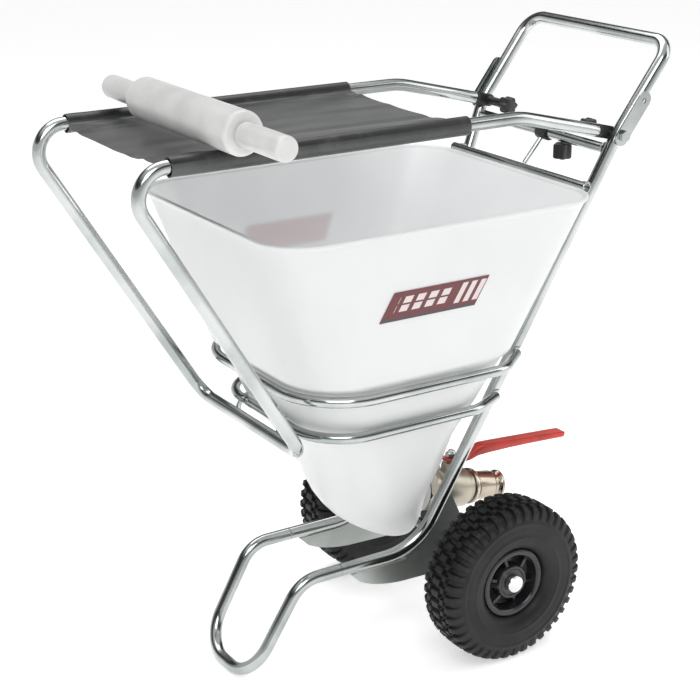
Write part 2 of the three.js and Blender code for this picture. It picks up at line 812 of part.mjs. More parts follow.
// Two hooks on the toe of the rack rest on the lower hoop.
const hookThickness = 5;
const hookY = 60;
const hookX = rackToeX + tubeOD / 2 + gap;
for (const [side, s] of sides) {
  const reach = lowerHoopFrontX - hookX;
  const outline = new THREE.Shape();
  const seatHeight = lowerHoopHeight - rackToeHeight;
  const seatR = thinTubeOD / 2 + 1;
  outline.moveTo(0, -8);
  outline.lineTo(4, -8);
  outline.lineTo(reach - seatR - 1, seatHeight + 3);
  outline.absarc(reach, seatHeight, seatR, Math.PI * 0.9, Math.PI * 0.47, true);
  outline.absarc(reach, seatHeight, seatR + 5, Math.PI * 0.47, Math.PI * 0.75);
  outline.lineTo(0, 8);
  outline.closePath();
  const mesh = add("rack_hook_" + side, platedXZ(outline, hookThickness), zinc);
  mesh.position.set(hookX, s * hookY, rackToeHeight);
}

// The sheet: a flat web at the rails' top, with a sewn sleeve round each rail.
const railY = (x) => mix(railFrontHalf, railBendHalf, (x - railFrontX) / (railBendX - railFrontX));
const sleeveInner = tubeOD / 2 + gap;
const sleeveOuter = sleeveInner + sleeveThickness;
const webDrop = 12; // the web hangs this far under the sleeves' tops
const sleeveAlongRail = (s, od) =>
  sweep(
    new BentPath(
      [v(sheetFrontX, s * railY(sheetFrontX), railHeight), v(sheetRearX, s * railY(sheetRearX), railHeight)],
      [],
    ),
    od,
    0,
    14,
  );
const webOutline = new THREE.Shape();
webOutline.moveTo(sheetFrontX, -railY(sheetFrontX));
webOutline.lineTo(sheetRearX, -railY(sheetRearX));
webOutline.lineTo(sheetRearX, railY(sheetRearX));
webOutline.lineTo(sheetFrontX, railY(sheetFrontX));
webOutline.closePath();
const web = new THREE.ExtrudeGeometry(webOutline, { depth: sheetThickness, bevelEnabled: false });
web.translate(0, 0, railHeight + sleeveOuter - sheetThickness - webDrop);
const straightRailCore = (s) => {
  const start = sheetFrontX - 5;
  const end = sheetRearX + 5;
  return sweep(
    new BentPath([v(start, s * railY(start), railHeight), v(end, s * railY(end), railHeight)], []),
    2 * sleeveInner + 0.8,
    0,
    14,
  );
};
const sheet = cut(
  join(web, sleeveAlongRail(-1, 2 * sleeveOuter), sleeveAlongRail(1, 2 * sleeveOuter)),
  ...[-1, 1].map(straightRailCore),
);
add("press_sheet", sheet, sheetVinyl);

// ---- Rolling pin: barrel on a steel core with two grips ----
const rollerHeight = railHeight + sleeveOuter + rollerOD / 2 + gap;
const pin = new THREE.Group();
pin.position.set(rollerX, rollerY, rollerHeight);
trolley.add(pin);
const barrelHalf = barrelLength / 2;
const barrel = turned([
  [coreOD / 2 + gap, -barrelHalf],
  [rollerOD / 2 - 4, -barrelHalf],
  [rollerOD / 2, -barrelHalf + 5],
  [rollerOD / 2, barrelHalf - 5],
  [rollerOD / 2 - 4, barrelHalf],
  [coreOD / 2 + gap, barrelHalf],
  [coreOD / 2 + gap, -barrelHalf],
]);
add("pin_barrel", barrel, polyethylene, pin);
add("pin_core", rod(coreOD / 2, -barrelHalf - 70, barrelHalf + 70, "y", 16), zinc, pin);
for (const [side, s] of sides) {
  const start = barrelHalf + 1;
  const end = start + gripLength;
  const gripShape = turned(
    [
      [coreOD / 2 + gap, start],
      [gripOD / 2 - 3, start],
      [gripOD / 2, start + 5],
      [gripOD / 2, end - 3],
      [gripOD / 2 - 3, end],
      [0, end],
      [0, barrelHalf + 70 + gap],
      [coreOD / 2 + gap, barrelHalf + 70 + gap],
      [coreOD / 2 + gap, start],
    ],
    "y",
    20,
  );
  add("pin_grip_" + side, s > 0 ? gripShape : gripShape.rotateX(Math.PI), polyethylene, pin);
}

// ---- Pivot studs with star knobs ----
const starKnob = (radius, height, lobes) => {
  const outline = new THREE.Shape();
  const count = lobes * 4;
  for (let k = 0; k < count; k++) {
    const a = (2 * Math.PI * k) / count;
    const r = radius * (0.9 + 0.1 * Math.cos(lobes * a));
    if (k === 0) outline.moveTo(r, 0);
    else outline.lineTo(r * Math.cos(a), r * Math.sin(a));
  }
  outline.closePath();
  return new THREE.ExtrudeGeometry(outline, { depth: height, bevelEnabled: false });
};
const knobRadius = 14;
const knobHeight = 22;
const knobEnd = 90; // the knob's inner face, from the middle of the frame
const neckFrom = knobEnd + knobHeight;
const neckTo = tongueHalf - tongueThickness / 2 - gap; // its neck bears on the tongue
const studHeadAt = jointHalf + tubeOD / 2 + strapThickness + 3 * gap + 1;
for (const [side, s] of sides) {
  const pivot = new THREE.Group();
  pivot.position.set(jointX, 0, jointHeight);
  trolley.add(pivot);
  const stud = join(
    rod(studOD / 2, knobEnd + 6, studHeadAt + 3, "y", 12),
    rod(9, studHeadAt + gap, studHeadAt + 6, "y", 6),
  );
  const knob = cut(
    join(
      starKnob(knobRadius, knobHeight, 6).rotateX(-Math.PI / 2).translate(0, knobEnd, 0),
      rod(7, neckFrom - 2, neckTo, "y", 16),
    ),
    rod(studClear, knobEnd + 6 - gap, neckTo + 5, "y", 12),
  );
  const turn = (geometry) => (s > 0 ? geometry : geometry.rotateX(Math.PI));
  add("pivot_stud_" + side, turn(stud), zinc, pivot);
  add("pivot_knob_" + side, turn(knob), blackPlastic, pivot);
}

// ---- Lock screw under the cross bar ----
const lockKnobTop = crossHeight - thinTubeOD / 2 - 2;
const lockKnobHeight = 24;
const lockStudTop = crossHeight + thinTubeOD / 2 + 4;
const lock = new THREE.Group();
lock.position.set(crossAt.x, lockKnobY, 0);
trolley.add(lock);
const lockKnob = join(
  starKnob(15, lockKnobHeight, 5).translate(0, 0, lockKnobTop - lockKnobHeight),
  rod(lockStudOD / 2, lockKnobTop - 10, lockStudTop, "z", 12),
);
add("lock_knob", lockKnob, blackPlastic, lock);

// ---- Origin: on the ground, under the middle of the object ----
const box = new THREE.Box3().setFromObject(trolley, true);
const middle = box.getCenter(new THREE.Vector3());
trolley.position.set(-middle.x, -middle.y, -box.min.z);

export default trolley;
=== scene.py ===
import math
import random

import bmesh
import bpy
from mathutils import Matrix, Vector


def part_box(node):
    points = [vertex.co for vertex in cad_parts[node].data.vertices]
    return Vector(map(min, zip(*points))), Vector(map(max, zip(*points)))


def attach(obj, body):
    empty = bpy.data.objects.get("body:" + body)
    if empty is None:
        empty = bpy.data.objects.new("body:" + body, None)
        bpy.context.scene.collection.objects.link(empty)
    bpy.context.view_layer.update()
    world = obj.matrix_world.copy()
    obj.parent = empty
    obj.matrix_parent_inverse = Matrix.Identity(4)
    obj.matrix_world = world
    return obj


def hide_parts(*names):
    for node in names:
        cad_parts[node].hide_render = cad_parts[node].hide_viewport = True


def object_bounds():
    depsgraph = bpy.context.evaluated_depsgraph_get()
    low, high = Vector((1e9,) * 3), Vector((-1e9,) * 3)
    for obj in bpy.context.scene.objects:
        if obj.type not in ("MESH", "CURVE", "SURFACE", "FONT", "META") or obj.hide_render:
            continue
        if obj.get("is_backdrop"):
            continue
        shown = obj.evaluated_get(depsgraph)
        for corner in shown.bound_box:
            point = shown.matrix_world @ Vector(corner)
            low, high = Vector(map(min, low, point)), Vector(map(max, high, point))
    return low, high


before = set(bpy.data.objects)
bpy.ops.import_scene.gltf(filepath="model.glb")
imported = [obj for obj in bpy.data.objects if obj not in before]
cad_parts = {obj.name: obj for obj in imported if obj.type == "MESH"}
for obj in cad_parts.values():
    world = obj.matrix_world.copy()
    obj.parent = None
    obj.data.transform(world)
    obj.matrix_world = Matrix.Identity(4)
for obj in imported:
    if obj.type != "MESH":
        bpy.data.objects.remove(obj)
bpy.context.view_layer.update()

# ---------------------------------------------------------------- camera
# One fixed camera a little above the object, towards its front left corner.
# Every place in this file is in millimetres from the middle of the axle, on the ground.
axle_low, axle_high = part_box("axle")
origin = Vector(((axle_low.x + axle_high.x) / 2, (axle_low.y + axle_high.y) / 2, 0.0))


def spot(x, y, z):
    """A point measured from under the middle of the axle, as a place in the frame."""
    return origin + Vector((x, y, z)) * 0.001


view_side = math.radians(-32.64)
view_height = math.radians(19.39)
view_distance = 2590.45
view_target = Vector((-163.8, 0.0, 480.4))
back = Vector((
    math.sin(view_side) * math.cos(view_height),
    -math.cos(view_side) * math.cos(view_height),
    math.sin(view_height),
))
camera_data = bpy.data.cameras.new("camera")
camera_data.lens = 87.0
camera_data.sensor_width = 36.0
camera = bpy.data.objects.new("camera", camera_data)
bpy.context.scene.collection.objects.link(camera)
camera.location = spot(*(view_target + back * view_distance))
camera.rotation_mode = "QUATERNION"
camera.rotation_quaternion = (-back).to_track_quat("-Z", "Y")
bpy.context.scene.camera = camera

# ---------------------------------------------------------------- bent tubes
# Bright zinc-plated steel tube, bent cold on a former: foot loop, two side tubes and push handle.
# The parts of the frame are plugged and welded together before they are plated.


class Signal:
    """One value or colour on its way through a finish."""

    def __init__(self, finish, socket):
        self.finish, self.socket = finish, socket

    def math(self, operation, *others, swap=False):
        values = [self, *others]
        if swap:
            values.reverse()
        settings = {"operation": operation}
        return self.finish.node("ShaderNodeMath", settings, dict(enumerate(values)))

    def __add__(self, other):
        return self.math("ADD", other)

    def __sub__(self, other):
        return self.math("SUBTRACT", other)

    def __rsub__(self, other):
        return self.math("SUBTRACT", other, swap=True)

    def __mul__(self, other):
        return self.math("MULTIPLY", other)

    def __gt__(self, other):
        return self.math("GREATER_THAN", other)

    def __lt__(self, other):
        return self.math("LESS_THAN", other)

    def between(self, low, high):
        """0 at low, 1 at high, eased."""
        settings = {"interpolation_type": "SMOOTHSTEP"}
        return self.finish.node("ShaderNodeMapRange", settings, {0: self, 1: low, 2: high})


class Finish:
    """A material of one kind of surface, with a Principled shader."""

    def __init__(self, name, **constants):
        self.material = bpy.data.materials.new(name)
        self.material.use_nodes = True
        self.tree = self.material.node_tree
        self.shader = self.tree.nodes["Principled BSDF"]
        for key, value in constants.items():
            self.shader.inputs[key.replace("_", " ").title().replace("Ior", "IOR")].default_value = value

    def node(self, kind, settings, sockets, out=0):
        made = self.tree.nodes.new(kind)
        for key, value in settings.items():
            setattr(made, key, value)
        for key, value in sockets.items():
            if isinstance(value, Signal):
                self.tree.links.new(value.socket, made.inputs[key])
            else:
                made.inputs[key].default_value = value
        return Signal(self, made.outputs[out])

    def place(self):
        return self.node("ShaderNodeTexCoord", {}, {}, out="Object")

    def parts(self, vector):
        split = self.node("ShaderNodeSeparateXYZ", {}, {0: vector})
        outs = split.socket.node.outputs
        return [Signal(self, outs[k]) for k in range(3)]

    def stretched(self, x, y, z):
        return self.node("ShaderNodeMapping", {}, {"Vector": self.place(), "Scale": (x, y, z)})

    def noise(self, scale, detail=3.0, roughness=0.5, vector=None):
        where = vector or self.place()
        sockets = {"Vector": where, "Scale": scale, "Detail": detail, "Roughness": roughness}
        return self.node("ShaderNodeTexNoise", {}, sockets)

    def mix(self, share, first, second):
        settings = {"data_type": "RGBA"}
        return self.node("ShaderNodeMix", settings, {0: share, 6: first, 7: second}, out=2)

    def bump(self, height, distance, strength=1.0):
        sockets = {"Height": height, "Distance": distance, "Strength": strength}
        self.feed("Normal", self.node("ShaderNodeBump", {}, sockets))

    def feed(self, name, signal):
        self.tree.links.new(signal.socket, self.shader.inputs[name])


def plated(name, bright, dull, rough):
    """Zinc or nickel plate: faint cloudiness, fine drawing marks and a little dirt."""
    finish = Finish(name, metallic=1.0)
    cloud = finish.noise(9.0, 4.0)
    grain = finish.noise(620.0, 2.0)
    finish.feed("Base Color", finish.mix(cloud.between(0.35, 0.7), bright, dull))
    finish.feed("Roughness", cloud * 0.12 + grain * 0.05 + (rough - 0.06))
    finish.bump(grain, 0.00002, 0.5)
    return finish.material


zinc = plated("bright_zinc", (0.56, 0.585, 0.575, 1), (0.36, 0.39, 0.38, 1), 0.13)


def mesh_piece(name, vertices, faces, material, body, slot, replaced=(), sharp=35, bevel=0.0):
    """A finished piece from points in millimetres, riding on its body."""
    mesh = bpy.data.meshes.new(name)
    mesh.from_pydata([spot(*p) for p in vertices], [], faces)
    mesh.validate()
    work = bmesh.new()
    work.from_mesh(mesh)
    bmesh.ops.recalc_face_normals(work, faces=work.faces)
    work.to_mesh(mesh)
    work.free()
    mesh.shade_smooth()
    mesh.set_sharp_from_angle(angle=math.radians(sharp))
    mesh.materials.append(material)
    piece = bpy.data.objects.new(name, mesh)
    bpy.context.scene.collection.objects.link(piece)
    if bevel:
        edge = piece.modifiers.new("edge", "BEVEL")
        edge.width = bevel * 0.001
        edge.segments = 2
        edge.limit_method = "ANGLE"
        edge.angle_limit = math.radians(40)
    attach(piece, body)
    if replaced:
        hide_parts(*replaced)
    return piece


def bands(rings, around, closed=False, capped=False):
    """Faces between neighbouring rings of points; each ring is a closed loop."""
    faces = []
    for i in range(rings if closed else rings - 1):
        here, there = i * around, (i + 1) % rings * around
        for k in range(around):
            n = (k + 1) % around
            faces.append((here + k, here + n, there + n, there + k))
    if capped:
        faces.append(tuple(reversed(range(around))))
        faces.append(tuple(range((rings - 1) * around, rings * around)))
    return faces


def coat(material, *nodes):
    """Give CAD nodes that stay on show a finish."""
    for node in nodes:
        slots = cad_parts[node].data.materials
        slots.clear()
        slots.append(material)


def bent_line(corners, radii, step=0.12):
    """Points along straight lines whose corners are rounded to the given radii."""
    corners = [Vector(c) for c in corners]
    points = [corners[0]]
    for before, corner, after, radius in zip(corners, corners[1:], corners[2:], radii):
        inward = (corner - before).normalized()
        outward = (after - corner).normalized()
        turn = inward.angle(outward)
        start = corner - inward * radius * math.tan(turn / 2)
        side = (outward - inward * outward.dot(inward)).normalized()
        count = max(3, math.ceil(turn / step))
        for k in range(count + 1):
            a = turn * k / count
            points.append(start + inward * radius * math.sin(a) + side * radius * (1 - math.cos(a)))
    points.append(corners[-1])
    return points


def swept(points, radius, sides=24, wall=1.5, mouth=12.0):
    """Vertices and faces of a tube along a line, with open mouths of the tube's wall."""
    vertices = []
    along = [
        (points[min(i + 1, len(points) - 1)] - points[max(i - 1, 0)]).normalized()
        for i in range(len(points))
    ]
    across = along[0].orthogonal().normalized()
    stations = []
    for point, forward in zip(points, along):
        across = (across - forward * across.dot(forward)).normalized()
        stations.append((point, forward, across.copy()))
    start, end = stations[0], stations[-1]
    if wall:
        inner = [(start[0] + start[1] * mouth, start[1], start[2], radius - wall)]
        inner.append((*start, radius - wall))
        inner.append((*start, radius - 0.4))
        middle = [(start[0] + start[1] * 0.5, start[1], start[2], radius)]
        middle += [(*s, radius) for s in stations[1:-1]]
        middle.append((end[0] - end[1] * 0.5, end[1], end[2], radius))
        outer = [(*end, radius - 0.4), (*end, radius - wall)]
        outer.append((end[0] - end[1] * mouth, end[1], end[2], radius - wall))
        profile = inner + middle + outer
    else:
        profile = [(*start, radius - 0.6), (start[0] + start[1] * 0.6, *start[1:], radius)]
        profile += [(*s, radius) for s in stations[1:-1]]
        profile += [(end[0] - end[1] * 0.6, *end[1:], radius), (*end, radius - 0.6)]
    for point, forward, sideways, size in profile:
        other = forward.cross(sideways)
        for k in range(sides):
            a = 2 * math.pi * k / sides
            vertices.append(point + (sideways * math.cos(a) + other * math.sin(a)) * size)
    return vertices, bands(len(profile), sides, capped=True)


tube = 10.0  # radius of the main tube
run_height, run_half = 157.0, 77.0
plug_x, upright_foot_x = -232.0, -88.0
knuckle_x, knuckle_height, knuckle_half = 205.0, 803.0, 167.0
handle_x, handle_height, handle_half = 303.0, 932.0, 168.0
foot_corners = [
    (plug_x, -run_half, run_height),
    (-302, -run_half, run_height),
    (-390, -70, tube),
    (-390, 70, tube),
    (-302, run_half, run_height),
    (plug_x, run_half, run_height),
]
mesh_piece(
    "foot_loop_tube", *swept(bent_line(foot_corners, [52, 60, 60, 52]), tube), zinc,
    "frame", "tube_zinc", ["foot_loop"],
)
knuckle = {s: Vector((knuckle_x, s * knuckle_half, knuckle_height)) for s in (-1, 1)}
handle_end = {s: Vector((handle_x, s * handle_half, handle_height)) for s in (-1, 1)}
splice = {s: knuckle[s].lerp(handle_end[s], 0.3) for s in (-1, 1)}
both_sides = (("left", -1), ("right", 1))
for side, s in both_sides:
    corners = [
        (plug_x + 0.3, s * run_half, run_height), (upright_foot_x, s * run_half, run_height),
        knuckle[s], splice[s],
    ]
    mesh_piece(
        f"side_tube_bent_{side}", *swept(bent_line(corners, [90, 120]), tube), zinc,
        "frame", "tube_zinc", [f"side_tube_{side}"],
    )
mesh_piece(
    "handle_tube",
    *swept(bent_line([splice[-1], handle_end[-1], handle_end[1], splice[1]], [34, 34]), tube),
    zinc, "frame", "tube_zinc", ["handle_loop"],
)

# ---------------------------------------------------------------- cross members and hoops
# Thinner plated tubes: a cross bar, a bar behind the hopper's rim and two hoops that carry
# the hopper. Their ends are welded to the side tubes, with a small bead round each end.
thin = 8.0


def upright_at(height):
    """Where the middle of an upright is at a height, as x and half the distance between the two."""
    share = (height - run_height) / (knuckle_height - run_height)
    return upright_foot_x + share * (knuckle_x - upright_foot_x), run_half + share * (knuckle_half - run_half)


cross_height, rim_bar_height = 780.0, 728.0
cross_x, cross_half = upright_at(cross_height)
rim_bar_x = upright_at(rim_bar_height)[0] - 21.7
cross_half -= 12
rim_bar_half = upright_at(rim_bar_height)[1] + 12
for name, node, x, half, z in (
    ("cross_bar_tube", "cross_bar", cross_x, cross_half, cross_height),
    ("rim_bar_tube", "rim_bar", rim_bar_x, rim_bar_half, rim_bar_height),
):
    line = [Vector((x, -half, z)), Vector((x, -half / 2, z)), Vector((x, half / 2, z)), Vector((x, half, z))]
    mesh_piece(name, *swept(line, thin), zinc, "frame", "tube_zinc", [node])
hoops = {
    "upper": (475.0, -339.0, 185.0, 104.0),
    "lower": (408.0, -312.0, 158.0, 82.0),
}
for which, (height, front, half, corner) in hoops.items():
    x, y = upright_at(height)
    corners = [
        (x - 6, -y - 18, height), (x - 62, -half, height), (front, -half, height),
        (front, half, height), (x - 62, half, height), (x - 6, y + 18, height),
    ]
    mesh_piece(
        f"{which}_hoop_tube", *swept(bent_line(corners, [60, corner, corner, 60]), thin), zinc,
        "frame", "tube_zinc", [f"{which}_hoop"],
    )

weld = plated("weld_seam", (0.60, 0.61, 0.60, 1), (0.42, 0.43, 0.42, 1), 0.34)


def bead(name, points, size, body):
    """A weld bead: a thin run of overlapping ripples along a line."""
    random.seed(name)
    vertices, sides = [], 8
    count = len(points)
    for i, point in enumerate(points):
        forward = (points[min(i + 1, count - 1)] - points[max(i - 1, 0)]).normalized()
        across = forward.orthogonal().normalized()
        other = forward.cross(across)
        ends = 0.35 if i in (0, count - 1) else 1.0
        r = size * ends * (0.85 + 0.3 * random.random())
        for k in range(sides):
            a = 2 * math.pi * k / sides
            vertices.append(point + (across * math.cos(a) + other * math.sin(a)) * r)
    mesh_piece(name, vertices, bands(count, sides, capped=True), weld, body, "tube_zinc", sharp=80)


def arc_points(middle, first, second, radius, start, end, count=15):
    """Points on part of a circle in the plane of two directions."""
    return [
        middle + (first * math.cos(a) + second * math.sin(a)) * radius
        for a in (start + (end - start) * k / (count - 1) for k in range(count))
    ]


for side, s in both_sides:
    for which, (height, front, half, corner) in hoops.items():
        x, y = upright_at(height)
        touch = Vector((x - 2, s * (y + 10.5), height))
        for up in (-1, 1):
            start = touch + Vector((-5, s * 1.0, 0)) + Vector((0, 0, up * 6.5))
            run = [start + Vector((12 * k / 7, s * 0.6 * k / 7, up * 0.4 * k / 7)) for k in range(8)]
            bead(f"weld_{which}_hoop_{side}_{'top' if up > 0 else 'bottom'}", run, 1.7, "frame")
    end = Vector((cross_x, s * (cross_half + 1.0), cross_height))
    run = arc_points(end, Vector((1, 0, 0)), Vector((0, 0, 1)), 8.4, 0, 6.1, 22)
    bead(f"weld_cross_bar_{side}", run, 1.5, "frame")
    touch = Vector((rim_bar_x + 9.5, s * (rim_bar_half - 12), rim_bar_height))
    for up in (-1, 1):
        run = [touch + Vector((0, -8 + 16 * k / 8, up * 5.0)) for k in range(9)]
        bead(f"weld_rim_bar_{side}_{'top' if up > 0 else 'bottom'}", run, 1.6, "frame")

# ---------------------------------------------------------------- stay and saddle
# A plated rod from the cross bar down to the rim bar. A black nylon saddle holds its top.
stay_y = -10.0
drop = Vector((rim_bar_x - cross_x, 0, rim_bar_height - cross_height)).normalized()
stay_top = Vector((cross_x, stay_y, cross_height)) + drop * (thin + 4)
stay_end = Vector((rim_bar_x, stay_y, rim_bar_height)) - drop * (thin + 1)
stay_line = [stay_top, stay_top.lerp(stay_end, 0.5), stay_end]
mesh_piece("stay_rod", *swept(stay_line, 4.0, 16, wall=0), zinc, "frame", "tube_zinc", ["centre_stay"])


def rounded(before, here, after, radius, steps=3):
    """The points of a small arc in place of a corner."""
    into, out = here - before, after - here
    reach = min(radius * math.tan(into.angle(out) / 2), into.length * 0.45, out.length * 0.45)
    first, last = here - into.normalized() * reach, here + out.normalized() * reach
    return [
        first * (1 - t) ** 2 + here * 2 * t * (1 - t) + last * t**2
        for t in (k / steps for k in range(steps + 1))
    ]


def eased(outline, radius, shallow=0.2):
    """A closed outline with each corner rounded, except the shallow ones."""
    made = []
    count = len(outline)
    for i, corner in enumerate(outline):
        here = Vector(corner)
        before, after = Vector(outline[i - 1]), Vector(outline[(i + 1) % count])
        if (here - before).angle(after - here) < shallow:
            made.append(here)
        else:
            made += rounded(before, here, after, radius)
    return made


def turned(outline, matrix, sides=64, soft=0.8):
    """A ring turned from a closed outline of (radius, along) points; its axis is the matrix's X."""
    profile = eased(outline, soft)
    vertices = []
    for k in range(sides):
        a = 2 * math.pi * k / sides
        for radius, along in profile:
            vertices.append(matrix @ Vector((along, radius * math.cos(a), radius * math.sin(a))))
    return vertices, bands(sides, len(profile), closed=True)


def solid_turned(outline, matrix, sides=64, soft=0.8):
    """A solid turned from an open outline that starts and ends on the axis."""
    corners = [Vector(p) for p in outline]
    profile = [corners[0]]
    for before, here, after in zip(corners, corners[1:], corners[2:]):
        profile += rounded(before, here, after, soft)
    profile.append(corners[-1])
    body = profile[1:-1]
    vertices = [matrix @ Vector((profile[0][1], 0, 0)), matrix @ Vector((profile[-1][1], 0, 0))]
    faces = []
    count = len(body)
    for k in range(sides):
        a = 2 * math.pi * k / sides
        for radius, along in body:
            vertices.append(matrix @ Vector((along, radius * math.cos(a), radius * math.sin(a))))
    for k in range(sides):
        n = (k + 1) % sides
        here, there = 2 + k * count, 2 + n * count
        faces.append((0, there, here))
        for i in range(count - 1):
            faces.append((here + i, there + i, there + i + 1, here + i + 1))
        faces.append((1, here + count - 1, there + count - 1))
    return vertices, faces


def moulded(name, colour, rough, grain=0.00003):
    """Moulded plastic: even colour, slight mottling and a fine spark texture."""
    finish = Finish(name)
    mottle = finish.noise(40.0, 3.0)
    light = tuple(min(1.0, c * 1.25 + 0.01) for c in colour[:3]) + (1,)
    finish.feed("Base Color", finish.mix(mottle.between(0.3, 0.75), colour, light))
    finish.feed("Roughness", mottle * 0.15 + (rough - 0.07))
    finish.bump(finish.noise(900.0, 2.0), grain, 0.6)
    return finish.material


black_nylon = moulded("black_nylon", (0.012, 0.012, 0.014, 1), 0.42)
along_y = Matrix(((0, 1, 0, 0), (1, 0, 0, 0), (0, 0, -1, 0), (0, 0, 0, 1)))


def on_y(x, y, z):
    """A turning axis along Y through a point."""
    return Matrix.Translation((x, y, z)) @ along_y


mesh_piece(
    "stay_saddle_clip",
    *turned([(thin + 0.3, -12), (thin + 4, -12), (thin + 4, 12), (thin + 0.3, 12)],
            on_y(cross_x, stay_y, cross_height), 48),
    black_nylon, "frame", "black_plastic", ["stay_saddle"],
)

# ---------------------------------------------------------------- hopper
# One rotationally moulded shell of milky polyethylene, five millimetres thick, which sits in
# the hoops. It has a rolled rim, a shoulder over the upper hoop and a boss for the outlet.
rim_height, rim_half, wall = 728.0, 227, 5.0
shoulder_top = 499
shoulder_share = (shoulder_top - 475) / (rim_height - 475)


def rear_wall(height):
    return upright_at(height)[0] - 2 * tube / math.sqrt(2) - 1.5


def between(a, b, share):
    return a + (b - a) * share


# height, front, rear, half width and corner radius at each level of the mould
hopper_levels = [
    (155, -98, -54, 22, 22), (162, -116, -50, 34, 34), (182, -152, -44, 54, 54),
    (210, -190, -41, 75, 75), (248, -220, -34, 94, 94), (293, -240, -14, 113, 113),
    (350.5, -270, -6, 131, 110), (408, -301, rear_wall(408), 147, 86),
    (480, -328, rear_wall(480), 174, 96),
    (shoulder_top, between(-328, -413, shoulder_share) - 7, rear_wall(shoulder_top),
     between(174, rim_half, shoulder_share) + 7, 92),
    (rim_height, -413, 139, rim_half, 70),
]
hoop_row, shoulder_row = 7, 8


def level_at(height):
    """The hopper's outline at a height: smooth in the bowl, straight between the hoops and the rim."""
    rows = hopper_levels
    i = max(k for k in range(len(rows) - 1) if rows[k][0] <= height + 1e-6)
    low, high = rows[i], rows[i + 1]
    share = (height - low[0]) / (high[0] - low[0])
    if i == shoulder_row:
        share = share * share * (3 - 2 * share)
    if i >= hoop_row:
        return [between(a, b, share) for a, b in zip(low[1:], high[1:])]
    before, after = rows[max(i - 1, 0)], rows[min(i + 2, shoulder_row)]
    result = []
    for k in range(1, 5):
        span = high[0] - low[0]
        slope_in = (high[k] - before[k]) / max(high[0] - before[0], 1) * span
        slope_out = (after[k] - low[k]) / max(after[0] - low[0], 1) * span
        t = share
        result.append(
            low[k] * (2 * t**3 - 3 * t**2 + 1) + slope_in * (t**3 - 2 * t**2 + t)
            + high[k] * (3 * t**2 - 2 * t**3) + slope_out * (t**3 - t**2)
        )
    return result


corner_points = 14


def hopper_ring(height, inset, lift=0.0):
    front, rear, half, radius = level_at(height)
    front, rear, half = front + inset, rear - inset, half - inset
    radius = max(min(radius - inset, (rear - front) / 2 - 0.5, half - 0.5), 2)
    ring = []
    for corner, (sx, sy) in enumerate(((1, 1), (-1, 1), (-1, -1), (1, -1))):
        cx = rear - radius if sx > 0 else front + radius
        cy = sy * (half - radius)
        for k in range(corner_points + 1):
            a = (corner + k / corner_points) * math.pi / 2
            ring.append(Vector((cx + radius * math.cos(a), cy + radius * math.sin(a), height + lift)))
        # two points on the flat wall keep its shading even
        next_sign = ((-1, 1), (-1, -1), (1, -1), (1, 1))[corner]
        nx = rear - radius if next_sign[0] > 0 else front + radius
        ny = next_sign[1] * (half - radius)
        a = (corner + 1) * math.pi / 2
        last, first = ring[-1], Vector((nx + radius * math.cos(a), ny + radius * math.sin(a), height + lift))
        ring += [last.lerp(first, 0.33), last.lerp(first, 0.67)]
    return ring


heights = [155, 157, 160, 165, 172, 182, 195, 210, 228, 248, 270, 293, 320, 350, 380, 400, 408, 430, 455, 476,
           480, 483, 487, 490, 493, 496, 499, 503, 520, 560, 610, 660, 700, 716]
shell = [hopper_ring(h, 0) for h in heights]
shell += [hopper_ring(720, -0.6), hopper_ring(722, -2.2), hopper_ring(724.2, -3.4), hopper_ring(726.6, -2.8)]
shell += [hopper_ring(728, -0.8), hopper_ring(728, 1.4, 0.3), hopper_ring(727.2, 3.6), hopper_ring(724, 4.8)]
shell += [hopper_ring(h, wall) for h in reversed(heights[1:])]
shell.append(hopper_ring(160.5, wall + 1))
vertices = [p for ring in shell for p in ring]
around = len(shell[0])
faces = bands(len(shell), around)
for first, ring in ((0, shell[0]), (len(vertices) - around, shell[-1])):
    vertices.append(sum(ring, Vector()) / around)
    for k in range(around):
        faces.append((first + k, first + (k + 1) % around, len(vertices) - 1))


label_x, label_height = origin.x - 0.154, 0.617


def milky_polyethylene(name, glow):
    """Milky plastic with a faint orange-peel skin; the glow is the light that comes through its wall."""
    finish = Finish(
        name, subsurface_weight=0.35, subsurface_scale=0.02, coat_weight=0.08,
        coat_roughness=0.25, ior=1.5, emission_strength=glow,
    )
    finish.shader.inputs["Subsurface Radius"].default_value = (1.0, 1.0, 1.0)
    cloud = finish.noise(5.0, 4.0)
    x, y, z = finish.parts(finish.place())
    # painted shade: the wall is painted darker towards the bottom of the bowl
    low = 1 - z.between(0.2, 0.62)
    tint = finish.mix(cloud.between(0.3, 0.75) * 0.6, (0.73, 0.735, 0.74, 1), (0.66, 0.665, 0.67, 1))
    tint = finish.mix(low * 0.5, tint, (0.66, 0.67, 0.66, 1))
    # the print of the side labels shows faintly through the wall
    along = ((x - label_x) - (z - label_height) * 0.45).math("ABSOLUTE")
    height = (z - label_height).math("ABSOLUTE")
    ghost = (1 - along.between(0.070, 0.086)) * (1 - height.between(0.016, 0.024))
    tint = finish.mix(ghost * 0.4, tint, (0.64, 0.45, 0.45, 1))
    finish.feed("Base Color", tint)
    finish.feed("Emission Color", tint)
    finish.feed("Roughness", cloud * 0.14 + 0.30)
    finish.feed("Alpha", 0.99 - z.between(0.45, 0.72) * 0.03)
    finish.bump(finish.noise(150.0, 3.0) * 0.7 + finish.noise(22.0, 2.0), 0.0002, 0.35)
    return finish.material


milky = milky_polyethylene("milky_polyethylene", 0.04)
hopper = mesh_piece("hopper_shell", vertices, faces, milky, "frame", "hopper_plastic", ["hopper"], sharp=50)
# the inner faces get a second copy of the finish with a stronger glow: painted light for what comes through
# the wall
hopper.data.materials.append(milky_polyethylene("milky_polyethylene_inside", 0.22))
inner_from = (len(heights) + 7) * around
for polygon in hopper.data.polygons:
    if min(polygon.vertices) >= inner_from:
        polygon.material_index = 1

